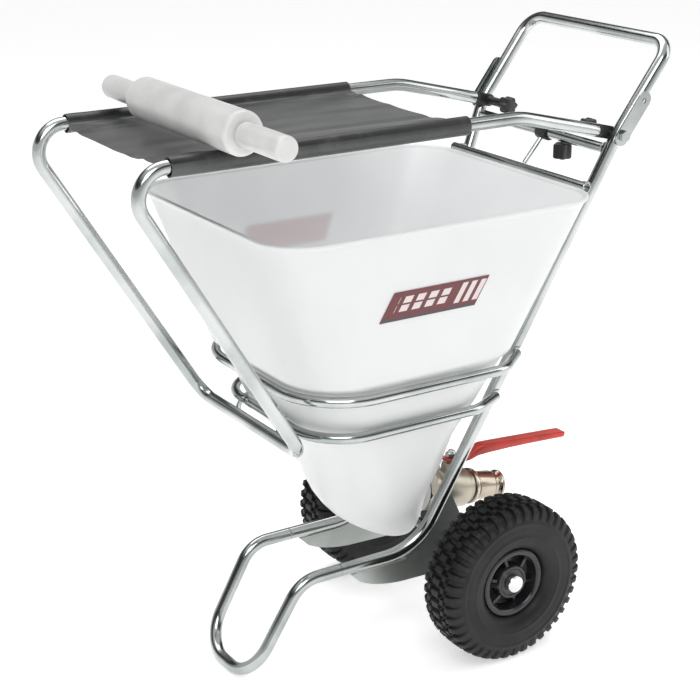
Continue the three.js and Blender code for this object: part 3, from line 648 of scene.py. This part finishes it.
outlet_tilt = math.radians(10)
outlet = Matrix.Translation((-33, 0, 216)) @ Matrix.Rotation(outlet_tilt, 4, "Y")
mesh_piece(
    "outlet_boss", *turned([(22, -30), (36, -30), (36, 0), (22, 0)], outlet, 64, 2.0), milky,
    "frame", "hopper_plastic",
)

# ---------------------------------------------------------------- side labels
# A slanted printed film on each side wall: a dark red field, pale bars and a thin rule below.
# It carries no words.


def label_print(side):
    finish = Finish(f"label_print_{side}", coat_weight=0.3, coat_roughness=0.2)
    x, y, z = finish.parts(finish.place())
    height = z - label_height
    slant_x = (x - label_x) - height * 0.47
    bars = (slant_x > 0.034).math("MULTIPLY", ((slant_x * 62.0).math("FRACT") > 0.42))
    bars = bars * (height > -0.0135) * (height < 0.0165)
    block = (slant_x > -0.066) * (slant_x < 0.024) * (height > -0.011) * (height < 0.0125)
    shapes = ((slant_x * 46.0).math("FRACT") > 0.36) * (((height * 80.0).math("FRACT") > 0.22))
    pale = (bars + block * shapes).math("MINIMUM", 1.0)
    wear = finish.noise(90.0, 4.0).between(0.25, 0.6)
    field = finish.mix(wear, (0.085, 0.008, 0.012, 1), (0.13, 0.013, 0.018, 1))
    field = finish.mix(pale * 0.85, field, (0.78, 0.70, 0.69, 1))
    field = finish.mix(height < -0.0185, field, (0.05, 0.03, 0.04, 1))
    finish.feed("Base Color", field)
    finish.feed("Roughness", wear * 0.12 + 0.3)
    return finish.material


for side, s in both_sides:
    corners = [(-246, 594), (-82, 594), (-62, 638), (-226, 638)]
    across, up = 24, 8
    vertices, faces = [], []
    for stand in (0.25, 0.95):
        for j in range(up + 1):
            for i in range(across + 1):
                left = Vector(corners[0]).lerp(Vector(corners[3]), j / up)
                right = Vector(corners[1]).lerp(Vector(corners[2]), j / up)
                x, z = left.lerp(right, i / across)
                share = (z - shoulder_top) / (rim_height - shoulder_top)
                half = between(level_at(shoulder_top)[2], rim_half, share)
                vertices.append((x, s * (half + stand), z))
    row = across + 1
    layer_size = row * (up + 1)
    for j in range(up):
        for i in range(across):
            a = j * row + i
            faces.append((a, a + 1, a + 1 + row, a + row))
            faces.append(tuple(layer_size + k for k in (a, a + row, a + 1 + row, a + 1)))
    edge = list(range(row))
    edge += [j * row + across for j in range(1, up + 1)]
    edge += [up * row + i for i in range(across - 1, -1, -1)]
    edge += [j * row for j in range(up - 1, 0, -1)]
    for a, b in zip(edge, edge[1:] + edge[:1]):
        faces.append((a, b, layer_size + b, layer_size + a))
    mesh_piece(
        f"label_film_{side}", vertices, faces, label_print(side), "frame", "label_print", [f"label_{side}"],
    )

# ---------------------------------------------------------------- axle plates and axle
# Two sheet-steel plates welded under the side tubes hold a solid axle. Turned spacer tubes
# keep the wheels at their places.
sheet_steel = plated("plate_zinc", (0.62, 0.66, 0.63, 1), (0.48, 0.51, 0.49, 1), 0.36)
for side, s in both_sides:
    coat(sheet_steel, f"axle_plate_{side}")
    run = [Vector((x, s * (run_half + 2.4), run_height - 10.2)) for x in range(-205, -105, 5)]
    bead(f"weld_plate_run_{side}", run, 1.9, "frame")
axle_height, track_half = 130.0, 185.0
mesh_piece(
    "axle_shaft",
    *solid_turned([(0, -218), (10, -218), (10, 218), (0, 218)], on_y(0, 0, axle_height), 48, 1.2),
    zinc, "frame", "tube_zinc", ["axle"],
)
for side, s in both_sides:
    start, end = s * (run_half + 2.3), s * (track_half - 42.3)
    outline = [(10.5, start), (14, start), (14, end), (10.5, end)]
    mesh_piece(
        f"spacer_tube_{side}",
        *turned(outline, on_y(0, 0, axle_height), 48), zinc,
        "frame", "tube_zinc", [f"axle_spacer_{side}"],
    )

# ---------------------------------------------------------------- wheels
# Pneumatic tyres with a staggered block tread, on two pressed and painted rim halves with a
# deep middle. Each has a rubber valve stem and a bright cap over the end of the axle.


def tyre_rubber():
    finish = Finish("tyre_rubber", specular_ior_level=0.32)
    dust = finish.noise(14.0, 5.0, 0.6)
    shade = finish.mix(dust.between(0.4, 0.75), (0.006, 0.006, 0.007, 1), (0.020, 0.019, 0.019, 1))
    finish.feed("Base Color", shade)
    finish.feed("Roughness", dust * 0.2 + 0.40)
    finish.bump(finish.noise(700.0, 3.0), 0.00005, 0.6)
    return finish.material


rubber = tyre_rubber()
rim_paint = moulded("black_rim_paint", (0.012, 0.012, 0.014, 1), 0.20, 0.00001)
bright_steel = plated("bright_pressed_steel", (0.78, 0.78, 0.78, 1), (0.66, 0.66, 0.66, 1), 0.16)
bearing_seal = moulded("bearing_seal", (0.02, 0.02, 0.021, 1), 0.35)
tyre_line = [
    (50.2, 14), (50.2, 22.4), (56.7, 23.2), (57.4, 27), (59.2, 31.0), (62.5, 35.0), (66, 37.6), (70, 39.4),
    (76, 41.0), (78, 41.1), (79, 41.8), (81, 41.9), (82, 41.4), (88, 41.8), (96, 41.5), (100, 41.0),
    (101, 41.5), (103, 41.4), (104, 40.9), (107, 40.6), (110, 40.3), (112.5, 39.9), (115, 39.4),
    (118, 38.4), (121, 37.0), (123.5, 35.4), (125.6, 33.2), (127.0, 30.6), (127.9, 27.6), (128.4, 25.4),
    (128.7, 23.4), (128.9, 22.0), (129.1, 20.6), (129.3, 19.2), (129.5, 16), (129.6, 12.8), (129.65, 11.2),
    (129.7, 9.4), (129.75, 7.8),
    (129.8, 4), (129.85, 0),
]
tread_pitches = 42
samples = 13
stations = tread_pitches * samples


def eased_step(value, low, high):
    t = min(max((value - low) / (high - low), 0.0), 1.0)
    return t * t * (3 - 2 * t)


def bar(value, start, end, ease):
    value %= 1.0
    return eased_step(value, start, start + ease) * (1 - eased_step(value, end - ease, end))


def lug(turn, across):
    """1 on top of a tread block and 0 at the bottom of a groove."""
    side = 0.25 if across >= 0 else 0.0
    reach = abs(across)
    middle = (1 - eased_step(reach, 7.8, 9.4)) * bar(turn, 0.0, 0.66, 0.09)
    inner = eased_step(reach, 11.2, 12.8) * (1 - eased_step(reach, 19.2, 20.6))
    inner *= bar(turn + 0.5 + side, 0.0, 0.66, 0.09)
    shoulder = eased_step(reach, 22.0, 23.4) * (1 - eased_step(reach, 40.0, 40.6))
    shoulder *= bar(turn + side, 0.0, 0.60, 0.08)
    return max(middle, inner, shoulder)


def pressed(hub_end):
    """Section of one rim half: disc, bead seat, flange and hub."""
    return [
        (21.5, 0.15), (49.2, 0.15), (49.2, 23.6), (56, 24.6), (56, 27.6), (55, 29.4), (52.5, 30.2),
        (47.4, 29.8), (45.4, 27.6), (43.6, 20), (42, 8),
        (28, 8), (27.6, hub_end - 3), (26, hub_end), (21.5, hub_end),
    ]


tread_from, groove_depth = 106, 5.6
for side, s in both_sides:
    outside = tyre_line + [(r, -y) for r, y in reversed(tyre_line[:-1])]
    inside = [(57, -14), (72, -31), (98, -34), (118, -14), (118, 14), (98, 34), (72, 31), (57, 14)]
    vertices = []
    matrix = on_y(0, s * track_half, axle_height)
    for k in range(stations):
        a = 2 * math.pi * k / stations
        for r, y in outside:
            if r > tread_from:
                depth = groove_depth * (1 - lug(k / samples, y))
                slope = min(1.0, (r - tread_from) / 8)
                away = math.atan2(abs(y), 62 + (r - 100))
                r -= depth * slope * math.cos(away * 1.6)
                y -= math.copysign(depth * slope * math.sin(away), y) * 0.6
            vertices.append(matrix @ Vector((y, r * math.cos(a), r * math.sin(a))))
        for r, y in inside:
            vertices.append(matrix @ Vector((y, r * math.cos(a), r * math.sin(a))))
    faces = bands(stations, len(outside) + len(inside), closed=True)
    mesh_piece(
        f"tyre_tread_{side}", vertices, faces, rubber, f"wheel_{side}", "tyre_rubber", [f"tyre_{side}"],
    )

    for end, way, hub_end in (("outer", 1, 26.0), ("inner", -1, 42.0)):
        outline = [(r, s * way * y) for r, y in pressed(hub_end)]
        vertices, faces = turned(outline, matrix, 72, 0.9)
        ribs = 6
        for k in range(ribs):
            a = 2 * math.pi * (k + 0.25) / ribs
            base = len(vertices)
            for y in (7.5, 19.0):
                for r, w in ((27.0, 2.2), (44.2, 2.8)):
                    high = y if y < 10 or r > 30 else y + 3
                    for e in (-1, 1):
                        radial = Vector((0, math.cos(a), math.sin(a)))
                        tangent = Vector((0, -math.sin(a), math.cos(a)))
                        place = radial * r + tangent * w * e + Vector((s * way * high, 0, 0))
                        vertices.append(matrix @ place)
            for face in ((0, 1, 3, 2), (4, 6, 7, 5), (0, 4, 5, 1), (2, 3, 7, 6), (0, 2, 6, 4), (1, 5, 7, 3)):
                faces.append(tuple(base + i for i in face))
        mesh_piece(
            f"rim_half_{end}_{side}", vertices, faces, rim_paint, f"wheel_{side}", "rim_black",
            [f"rim_{end}_{side}"],
        )
        start, stop = (12.5, 25.5) if way > 0 else (-41.5, -28.5)
        outline = [(10.4, s * start), (21.1, s * start), (21.1, s * stop), (10.4, s * stop)]
        mesh_piece(
            f"wheel_bearing_{end}_{side}", *turned(outline, matrix, 48, 0.6), bearing_seal, f"wheel_{side}",
            "bright_steel", [f"bearing_{end}_{side}"],
        )
    a = math.radians(188)
    stem_from = matrix @ Vector((s * 18, 43 * math.cos(a), 43 * math.sin(a)))
    stem_to = matrix @ Vector((s * 34, 34 * math.cos(a), 34 * math.sin(a)))
    stem_line = [stem_from, stem_from.lerp(stem_to, 0.5), stem_to]
    mesh_piece(
        f"valve_stem_rubber_{side}", *swept(stem_line, 3.6, 16, wall=0), rubber,
        f"wheel_{side}", "tyre_rubber",
    )
    cap = [(0, s * 33.4), (10.5, s * 33.4), (10.5, s * 26.3), (14, s * 26.3), (14, s * 34.2), (13, s * 35.6),
           (10.4, s * 36.2), (0, s * 36.3)]
    mesh_piece(
        f"axle_cap_{side}", *solid_turned(cap, matrix, 56, 0.9), bright_steel, "frame", "bright_steel",
        [f"hub_cap_{side}"],
    )

# ---------------------------------------------------------------- outlet and ball valve
# Nickel-plated brass: a lining clamped through the boss by a hexagon nut, a cast valve body
# with a plain barrel, an end flange and a grooved adapter for a lever-lock hose coupling.
nickel = plated("nickel_brass", (0.56, 0.51, 0.43, 1), (0.40, 0.36, 0.30, 1), 0.20)
cast_nickel = plated("cast_nickel", (0.50, 0.46, 0.38, 1), (0.34, 0.31, 0.25, 1), 0.32)
aged_nickel = plated("aged_nickel", (0.50, 0.44, 0.36, 1), (0.22, 0.15, 0.12, 1), 0.20)
seal_rubber = moulded("seal_rubber", (0.02, 0.02, 0.02, 1), 0.6)


def hexagon(across_flats, start, end, bore, matrix, chamfer=2.2, facing=0.0):
    """A hexagon ring along X, its corners chamfered as a turned nut's are."""
    apothem = across_flats / 2
    corner = apothem / math.cos(math.pi / 6)
    vertices = []
    per_side = 8
    sides = 6 * per_side
    rows = (
        (bore, start), (apothem - 0.6, start), (None, start), (None, end), (apothem - 0.6, end), (bore, end),
    )
    for k in range(sides):
        a = 2 * math.pi * k / sides + facing
        local = (k % per_side) / per_side * math.pi / 3 - math.pi / 6
        flat = apothem / math.cos(local)
        cut = (flat - apothem) / (corner - apothem) * chamfer
        for radius, along in rows:
            r = flat if radius is None else radius
            x = along + (cut + 0.25 if along == start else -cut - 0.25) if radius is None else along
            vertices.append(matrix @ Vector((x, r * math.cos(a), r * math.sin(a))))
    return vertices, bands(sides, len(rows), closed=True)


bore = 18.0
coat(seal_rubber, "outlet_gasket", "ball_seat_inlet", "ball_seat_outlet")
mesh_piece(
    "clamp_nut", *hexagon(60, 3.3, 21, 21.3, outlet), nickel,
    "frame", "valve_nickel", ["outlet_nut"], sharp=28,
)
lining = [(bore, -40), (30, -40), (30, -37), (21, -37), (21, 21), (bore, 21)]
mesh_piece(
    "outlet_lining", *turned(lining, outlet, 56, 0.5), nickel, "frame", "valve_nickel", ["outlet_tube"],
)
belly_middle = 56.0
body_line = [
    (bore, 21.6), (26, 21.6), (27, 22.6), (27, 30), (28, 31), (31, 32.4), (32.6, 34), (33, 36), (33, 84),
    (32.6, 86), (31, 87.6), (28, 89), (27, 90), (27, 98.2), (26, 99.2), (bore, 99.2), (bore, 79),
    (22.3, 79), (22.3, 70), (26.2, 60), (26.2, 52), (22.3, 42), (22.3, 33), (bore, 33),
]
mesh_piece(
    "valve_casting", *turned(body_line, outlet, 72, 1.0), cast_nickel,
    "frame", "valve_nickel", ["valve_body"],
)
upright_in_outlet = outlet @ Matrix.Translation((belly_middle, 0, 0)) @ Matrix.Rotation(-math.pi / 2, 4, "Y")
neck = [(5.4, 26), (14.5, 26), (13, 33), (13, 42.6), (12, 44), (5.4, 44)]
mesh_piece("stem_neck", *turned(neck, upright_in_outlet, 48, 0.8), cast_nickel, "frame", "valve_nickel")
flange = [(bore, 99.6), (29.2, 99.6), (30, 100.4), (30, 105.2), (29.2, 106), (bore, 106)]
mesh_piece(
    "end_flange_ring", *turned(flange, outlet, 72, 1.0), nickel, "frame", "valve_nickel", ["end_flange"],
)
adapter = [
    (bore, 106.4), (22.6, 106.4), (23.4, 107.4), (23.4, 112), (24, 113), (24, 143.6), (22.6, 145.2),
    (20, 147.4), (19.6, 149), (19.6, 153.4), (20.2, 155), (22.6, 157), (24, 158.6), (24, 162),
    (23, 164), (18.6, 164), (bore, 163),
]
mesh_piece(
    "grooved_adapter", *turned(adapter, outlet, 72, 1.2), aged_nickel,
    "frame", "valve_nickel", ["hose_adapter"],
)

# ---------------------------------------------------------------- valve lever
# A pressed steel lever dipped in red vinyl, held on the stem by a small domed nut. The ball
# and the stem turn with it.
coat(bright_steel, "valve_ball")
coat(nickel, "valve_stem")


def dipped_vinyl():
    finish = Finish("red_dipped_vinyl", coat_weight=0.25, coat_roughness=0.12)
    patch = finish.noise(30.0, 3.0)
    shade = finish.mix(patch.between(0.3, 0.75), (0.62, 0.028, 0.010, 1), (0.42, 0.016, 0.007, 1))
    finish.feed("Base Color", shade)
    finish.feed("Roughness", patch * 0.12 + 0.26)
    finish.bump(finish.noise(260.0, 2.0), 0.00006, 0.4)
    return finish.material


red = dipped_vinyl()
# along the lever, height of its top, half width and depth: the sides are folded down past the step
lever_rows = [
    (-14, 4, 5, 4.0), (-12, 4, 9, 4.0), (-7, 4.1, 12.4, 4.2), (0, 4.2, 13.4, 4.4), (12, 4.2, 13.0, 4.4),
    (22, 4.2, 12.0, 4.6), (30, 6.2, 11.6, 6.5), (36, 10.5, 11.4, 10), (44, 17.2, 11.4, 14),
    (50, 22.2, 11.8, 17), (56, 25.2, 12.4, 19.5), (62, 26.8, 12.9, 19.5),
    (80, 28.6, 13.2, 17.5), (110, 31.6, 13.3, 15),
    (150, 35.6, 13.3, 13), (190, 39.6, 13.3, 12), (212, 41.8, 13.3, 11.6), (222, 42.7, 13.3, 11.4),
    (226, 43.0, 12.8, 10.8), (228, 43.0, 11.6, 9.0),
]
lever_plane = 48.0
vertices = []
ring_size = 28
for along, top, half, depth in lever_rows:
    for k in range(ring_size):
        a = 2 * math.pi * (k + 0.5) / ring_size
        c, sn = math.cos(a), math.sin(a)
        y = half * math.copysign(abs(c) ** 0.35, c)
        z = depth / 2 * math.copysign(abs(sn) ** 0.55, sn)
        dish = -1.1 * (1 - (y / half) ** 2) if along > 60 and z > 0 else 0.0
        hollow = 0.7 * (depth - 6) * (1 - (y / half) ** 4) if depth > 6 and z < 0 else 0.0
        height = lever_plane + top - depth / 2 + z + dish + hollow
        vertices.append(outlet @ Vector((belly_middle + along, y, height)))
faces = bands(len(lever_rows), ring_size, capped=True)
mesh_piece(
    "lever_dipped", vertices, faces, red, "lever", "lever_red", ["valve_lever", "lever_sleeve"], sharp=60,
)
mesh_piece(
    "lever_nut_hex", *hexagon(17, 52.6, 60.5, 5.2, upright_in_outlet, 0.8), bright_steel,
    "lever", "valve_nickel", ["lever_nut"], sharp=28,
)
dome = [(0, 59.5), (7.2, 59.5), (7.2, 61), (6.4, 63.5), (4.4, 65.4), (0, 66.3)]
mesh_piece(
    "lever_nut_dome", *solid_turned(dome, upright_in_outlet, 32, 1.2), bright_steel,
    "lever", "valve_nickel",
)

# ---------------------------------------------------------------- rack
# One long bent tube: two rails over the hopper, a tight bend at the front, two legs back to a
# toe bar. Nylon tongues at its rear ends turn on the pivot studs; two hooks sit on the hoop.
rail_height, rail_front_x, rail_front_half = 846.0, -616.0, 161.0
rail_bend_x, rail_bend_half = 28.0, 157.0
toe_x, toe_height, toe_half = -340.0, 398.0, 151.0
tongue_half, rail_end_x = 151.5, 176
rear_share = (rail_end_x - rail_bend_x) / (knuckle_x - rail_bend_x)


def rail_rear(s):
    """The end of a rail, where its nylon tongue starts."""
    half = between(rail_bend_half, tongue_half, rear_share)
    return rail_end_x, s * half, between(rail_height, knuckle_height, rear_share)


near_half = [
    rail_rear(-1), (rail_bend_x, -rail_bend_half, rail_height),
    (rail_front_x, -rail_front_half, rail_height), (toe_x, -toe_half, toe_height),
]
rack_corners = near_half + [(x, -y, z) for x, y, z in reversed(near_half)]
mesh_piece(
    "rack_tube_bent", *swept(bent_line(rack_corners, [150, 40, 32, 32, 40, 150]), tube), zinc,
    "rack", "tube_zinc", ["rack_tube"],
)
for side, s in both_sides:
    coat(black_nylon, f"rail_tongue_{side}")
    coat(zinc, f"rack_hook_{side}", f"joint_strap_{side}", f"pivot_stud_{side}")
    start = Vector(rail_rear(s))
    way = (start - Vector((rail_bend_x, s * rail_bend_half, rail_height))).normalized()
    turn = way.to_track_quat("X", "Z").to_matrix().to_4x4()
    plug = [(0, 0.4), (10.4, 0.4), (10.4, 5), (8, 7.5), (0, 7.5)]
    mesh_piece(
        f"rail_plug_{side}", *solid_turned(plug, Matrix.Translation(start) @ turn, 32, 1.0), black_nylon,
        "rack", "black_plastic",
    )

# ---------------------------------------------------------------- press sheet
# Coated vinyl, one piece, drawn tight over the two rails. Each long edge is turned round its
# rail and welded to itself, so the sheet has a loose sleeve there; the pull leaves creases.
sheet_front, sheet_rear = -541.0, -69.0
web_height = rail_height - 0.2
sheet_thickness = 1.1


def rail_half_at(x):
    return between(rail_front_half, rail_bend_half, (x - rail_front_x) / (rail_bend_x - rail_front_x))


def coated_vinyl():
    finish = Finish(
        "coated_vinyl", sheen_weight=0.15, sheen_roughness=0.4, coat_weight=0.18, coat_roughness=0.25,
    )
    x, y, z = finish.parts(finish.place())
    weave_x = (x * 5200.0).math("SINE")
    weave_y = (y * 5200.0).math("SINE")
    scuff = finish.noise(1.0, 5.0, 0.62, finish.stretched(6.0, 26.0, 6.0))
    dust = finish.noise(38.0, 4.0)
    shade = finish.mix(scuff.between(0.35, 0.72), (0.024, 0.025, 0.026, 1), (0.066, 0.070, 0.069, 1))
    # painted shade: the sheet is painted near black along the tops of the sleeves, over the rails
    above = z - (rail_height * 0.001 + 0.004)
    shade = finish.mix(above.between(0.0, 0.003), shade, (0.006, 0.006, 0.007, 1))
    finish.feed("Base Color", finish.mix(dust.between(0.5, 0.85) * 0.35, shade, (0.10, 0.105, 0.10, 1)))
    finish.feed("Roughness", scuff * 0.22 + 0.26)
    finish.bump(weave_x * weave_y * 0.4 + finish.noise(45.0, 4.0) * 2.0, 0.00012, 0.5)
    return finish.material


def crease(x, y):
    """Height of the sheet's shallow folds, strongest towards the four corners."""
    u = (x - sheet_front) / (sheet_rear - sheet_front)
    v = y / rail_half_at(x)
    folds = 0.0
    for place, width, depth, drift in (
        (-0.72, 0.05, 1.5, 0.10), (-0.5, 0.07, -1.1, -0.06), (0.2, 0.10, 0.7, 0.08),
        (0.62, 0.05, 1.3, -0.10), (0.8, 0.04, -1.2, 0.05), (-0.15, 0.12, -0.8, 0.02),
    ):
        centre_line = place + drift * math.sin(2.2 * u + place * 5)
        swell = 0.55 + 0.45 * math.cos(5 * u + 9 * place)
        folds += depth * math.exp(-(((v - centre_line) / width) ** 2)) * swell
    corner = 0.0
    for cu, cv in ((0, -1), (0, 1), (1, -1), (1, 1)):
        du, dv = (u - cu) * 1.2, (v - cv) * 0.8
        away = math.hypot(du, dv)
        turn = math.atan2(dv, du)
        corner += 1.3 * math.exp(-((away - 0.22) / 0.13) ** 2) * math.sin(turn * 9 + cu + cv)
    edge = min(1.0, (1 - abs(v)) / 0.08)
    return (folds + corner) * edge


# the web leaves each sleeve on its inner side, and the cut edge is tucked up under it
section_angles = [math.radians(a) for a in range(172, -166, -13)]
sleeve_radius = 11.4
vertices, faces, rows = [], [], 60
count_across, hem_rows = 76, 7


def sleeve_point(side, half, a):
    tall = 12.3 if a > 0 else 13.2
    return side * (half + sleeve_radius * math.cos(a)), rail_height + tall * math.sin(a)


for i in range(rows + 1):
    x = between(sheet_front, sheet_rear, i / rows)
    half = rail_half_at(x)
    line = [sleeve_point(-1, half, a) for a in reversed(section_angles)]
    web_half = half - sleeve_radius
    for k in range(1, count_across):
        y = between(-web_half, web_half, k / count_across)
        inner = min(1.0, (web_half - abs(y)) / 14)
        sag = 2.4 * (1 - (y / web_half) ** 2)
        line.append((y, web_height - sag * inner + 1.5 * crease(x, y) * inner))
    line += [sleeve_point(1, half, a) for a in section_angles]
    ripple = 1.5 * math.sin(i * 0.9) * math.exp(-((i / 4.0) ** 2))
    for y, z in line:
        across = min(1.0, abs(y) / web_half)
        # between the rails both hems lie a little further forwards than at the sleeves
        shift = 0.0
        if i < hem_rows:
            shift = -11.0 * (1 - across**8) * (1 - i / hem_rows)
        elif i > rows - hem_rows:
            shift = -5.0 * (1 - across**2) * (1 - (rows - i) / hem_rows)
        vertices.append(Vector((x + shift, y, z + ripple * 0.2)))
columns = len(line)
for i in range(rows):
    for k in range(columns - 1):
        a = i * columns + k
        faces.append((a, a + 1, a + 1 + columns, a + columns))
sheet_area = 0.0
for face in faces:
    p = [vertices[i] for i in face]
    sheet_area += ((p[2] - p[0]).cross(p[3] - p[1])).length / 2 / 1e6
count = len(vertices)
normals = [Vector() for _ in vertices]
for face in faces:
    p = [vertices[i] for i in face]
    n = (p[2] - p[0]).cross(p[3] - p[1])
    for i in face:
        normals[i] += n
under = [p - n.normalized() * sheet_thickness * (1 if n.length else 0) for p, n in zip(vertices, normals)]
thick_faces = [tuple(f) for f in faces] + [tuple(count + i for i in reversed(f)) for f in faces]
border = list(range(columns)) + [i * columns + columns - 1 for i in range(1, rows + 1)]
border += [rows * columns + k for k in range(columns - 2, -1, -1)]
border += [i * columns for i in range(rows - 1, 0, -1)]
for a, b in zip(border, border[1:] + border[:1]):
    thick_faces.append((b, a, count + a, count + b))
vinyl = coated_vinyl()
sheet_piece = mesh_piece(
    "sheet_stretched", vertices + under, thick_faces, vinyl, "rack", "sheet_vinyl", ["press_sheet"], sharp=60,
)

# ---------------------------------------------------------------- rolling pin
# A loose pin that rolls over the sheet to press a bag flat: a turned polyethylene barrel with
# a plated steel core through it, and a plain handle of the same plastic on each end.


def cream_plastic():
    finish = Finish("cream_polyethylene", subsurface_weight=0.25, subsurface_scale=0.008, coat_weight=0.05)
    finish.shader.inputs["Subsurface Radius"].default_value = (1.0, 0.9, 0.8)
    cloud = finish.noise(18.0, 4.0)
    turning = finish.noise(1.0, 2.0, 0.5, finish.stretched(20.0, 900.0, 20.0))
    shade = finish.mix(cloud.between(0.3, 0.75), (0.70, 0.70, 0.69, 1), (0.60, 0.60, 0.59, 1))
    finish.feed("Base Color", shade)
    finish.feed("Roughness", cloud * 0.15 + 0.26)
    finish.bump(turning, 0.00006, 0.5)
    return finish.material


cream = cream_plastic()
pin_x, pin_y, pin_height = -460.0, -73.0, rail_height + 12.8 + 30.3
pin_axis = on_y(pin_x, pin_y, pin_height)
one_end = [(30, 138), (28.4, 141.6), (26, 143), (7.4, 143)]
outline = [(r, -y) for r, y in reversed(one_end)] + one_end
mesh_piece(
    "barrel_turned", *turned(outline, pin_axis, 80, 1.6), cream, "barrel", "pin_plastic", ["pin_barrel"],
)
outline = [(0, -213), (7, -213), (7, 213), (0, 213)]
mesh_piece(
    "core_rod", *solid_turned(outline, pin_axis, 32, 1.0), zinc, "pin", "tube_zinc", ["pin_core"],
)
for side, s in both_sides:
    line = [
        (0, 213.4), (7.3, 213.4), (7.3, 144), (14.5, 144), (16.4, 146.5), (17, 150), (17, 244),
        (16.2, 248), (13.5, 250), (0, 250),
    ]
    mesh_piece(
        f"handle_grip_{side}", *solid_turned([(r, s * y) for r, y in line], pin_axis, 48, 1.4), cream,
        "pin", "pin_plastic", [f"pin_grip_{side}"],
    )

# ---------------------------------------------------------------- star knobs and pivots
# Moulded black knobs with a long neck screw on the pivot studs and clamp the rack's tongues.
# A third, on a short screw through the cross bar, locks the stay.


def star(radius, lobes, start, end, matrix, points=12):
    """A lobed grip along X, with its edges rounded."""
    vertices = []
    count = lobes * points
    rows = (
        (0.80, start), (0.93, start + 0.8), (1.0, start + 3.0),
        (1.0, end - 3.4), (0.93, end - 1.2), (0.78, end),
    )
    for share, along in rows:
        for k in range(count):
            a = 2 * math.pi * k / count
            r = radius * (0.885 + 0.115 * math.cos(lobes * a)) * share
            vertices.append(matrix @ Vector((along, r * math.cos(a), r * math.sin(a))))
    return vertices, bands(len(rows), count, capped=True)


def joined(*pieces):
    """Several shapes as one list of vertices and faces."""
    vertices, faces = [], []
    for points, sides in pieces:
        base = len(vertices)
        vertices += points
        faces += [tuple(base + i for i in f) for f in sides]
    return vertices, faces


for side, s in both_sides:
    outward = along_y if s > 0 else Matrix.Rotation(math.pi, 4, "Z") @ along_y
    matrix = Matrix.Translation((knuckle_x, 0, knuckle_height)) @ outward
    grip = star(14, 6, 90, 112, matrix)
    neck = turned([(4.4, 110), (8.5, 110), (7, 114), (7, 146), (8.4, 148.1), (4.4, 148.1)], matrix, 32, 0.8)
    mesh_piece(
        f"knob_moulded_{side}", *joined(grip, neck), black_nylon, f"knob_{side}", "black_plastic",
        [f"pivot_knob_{side}"],
    )
upward = Matrix.Translation((cross_x, -54, 0)) @ Matrix.Rotation(-math.pi / 2, 4, "Y")
mesh_piece(
    "lock_knob_moulded", *star(15, 5, 746, 770, upward), black_nylon,
    "knob_lock", "black_plastic", ["lock_knob"],
)
screw = [(0, 768), (3, 768), (3, 791), (2.2, 792), (0, 792)]
mesh_piece("lock_screw", *solid_turned(screw, upward, 20, 0.4), zinc, "knob_lock", "tube_zinc")

# ---------------------------------------------------------------- floor and light
# A pale floor, a pale sky with a dark band high up for the plated parts to reflect, and
# three soft lights.
floor_mesh = bpy.data.meshes.new("floor")
reach = 40.0
floor_corners = [(-reach, -reach, 0), (reach, -reach, 0), (reach, reach, 0), (-reach, reach, 0)]
floor_mesh.from_pydata(floor_corners, [], [(0, 1, 2, 3)])
floor = bpy.data.objects.new("floor", floor_mesh)
floor.location.z = -0.0005
bpy.context.scene.collection.objects.link(floor)
floor_paint = Finish("pale_floor", roughness=0.7, emission_color=(1, 1, 1, 1), emission_strength=0.52)
speck = floor_paint.noise(3.0, 2.0)
floor_paint.feed("Base Color", floor_paint.mix(speck, (0.93, 0.93, 0.93, 1), (0.95, 0.95, 0.95, 1)))
floor_mesh.materials.append(floor_paint.material)
floor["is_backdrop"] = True

world = bpy.data.worlds.new("studio")
bpy.context.scene.world = world
world.use_nodes = True
tree = world.node_tree
sky = tree.nodes["Background"]
coordinates = tree.nodes.new("ShaderNodeTexCoord")
split = tree.nodes.new("ShaderNodeSeparateXYZ")
ramp = tree.nodes.new("ShaderNodeValToRGB")
tree.links.new(coordinates.outputs["Generated"], split.inputs[0])
tree.links.new(split.outputs["Z"], ramp.inputs["Fac"])
tree.links.new(ramp.outputs["Color"], sky.inputs["Color"])
stops = ramp.color_ramp.elements
stops[0].position, stops[0].color = 0.0, (0.85, 0.85, 0.85, 1)
stops[1].position, stops[1].color = 1.0, (1.0, 1.0, 1.0, 1)
for position, level in ((0.25, 0.80), (0.33, 0.07), (0.52, 0.05), (0.64, 0.25), (0.80, 0.90)):
    stop = stops.new(position)
    stop.color = (level, level, level, 1)
sky.inputs["Strength"].default_value = 0.8


def softbox(name, place, aim, size, power):
    data = bpy.data.lights.new(name, "AREA")
    data.shape = "RECTANGLE"
    data.size, data.size_y = size
    data.energy = power
    light = bpy.data.objects.new(name, data)
    light.location = place
    light.rotation_mode = "QUATERNION"
    light.rotation_quaternion = (Vector(aim) - Vector(place)).to_track_quat("-Z", "Y")
    bpy.context.scene.collection.objects.link(light)


softbox("key", (-1.6, -2.6, 3.2), (0.0, 0.0, 0.4), (2.4, 2.4), 62)
softbox("fill", (2.8, -1.4, 2.0), (0.0, 0.0, 0.5), (1.6, 2.6), 24)
softbox("overhead", (0.2, 1.2, 3.4), (0.0, 0.0, 0.4), (3.0, 2.2), 46)
bpy.context.scene.view_settings.view_transform = "Standard"

low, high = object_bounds()
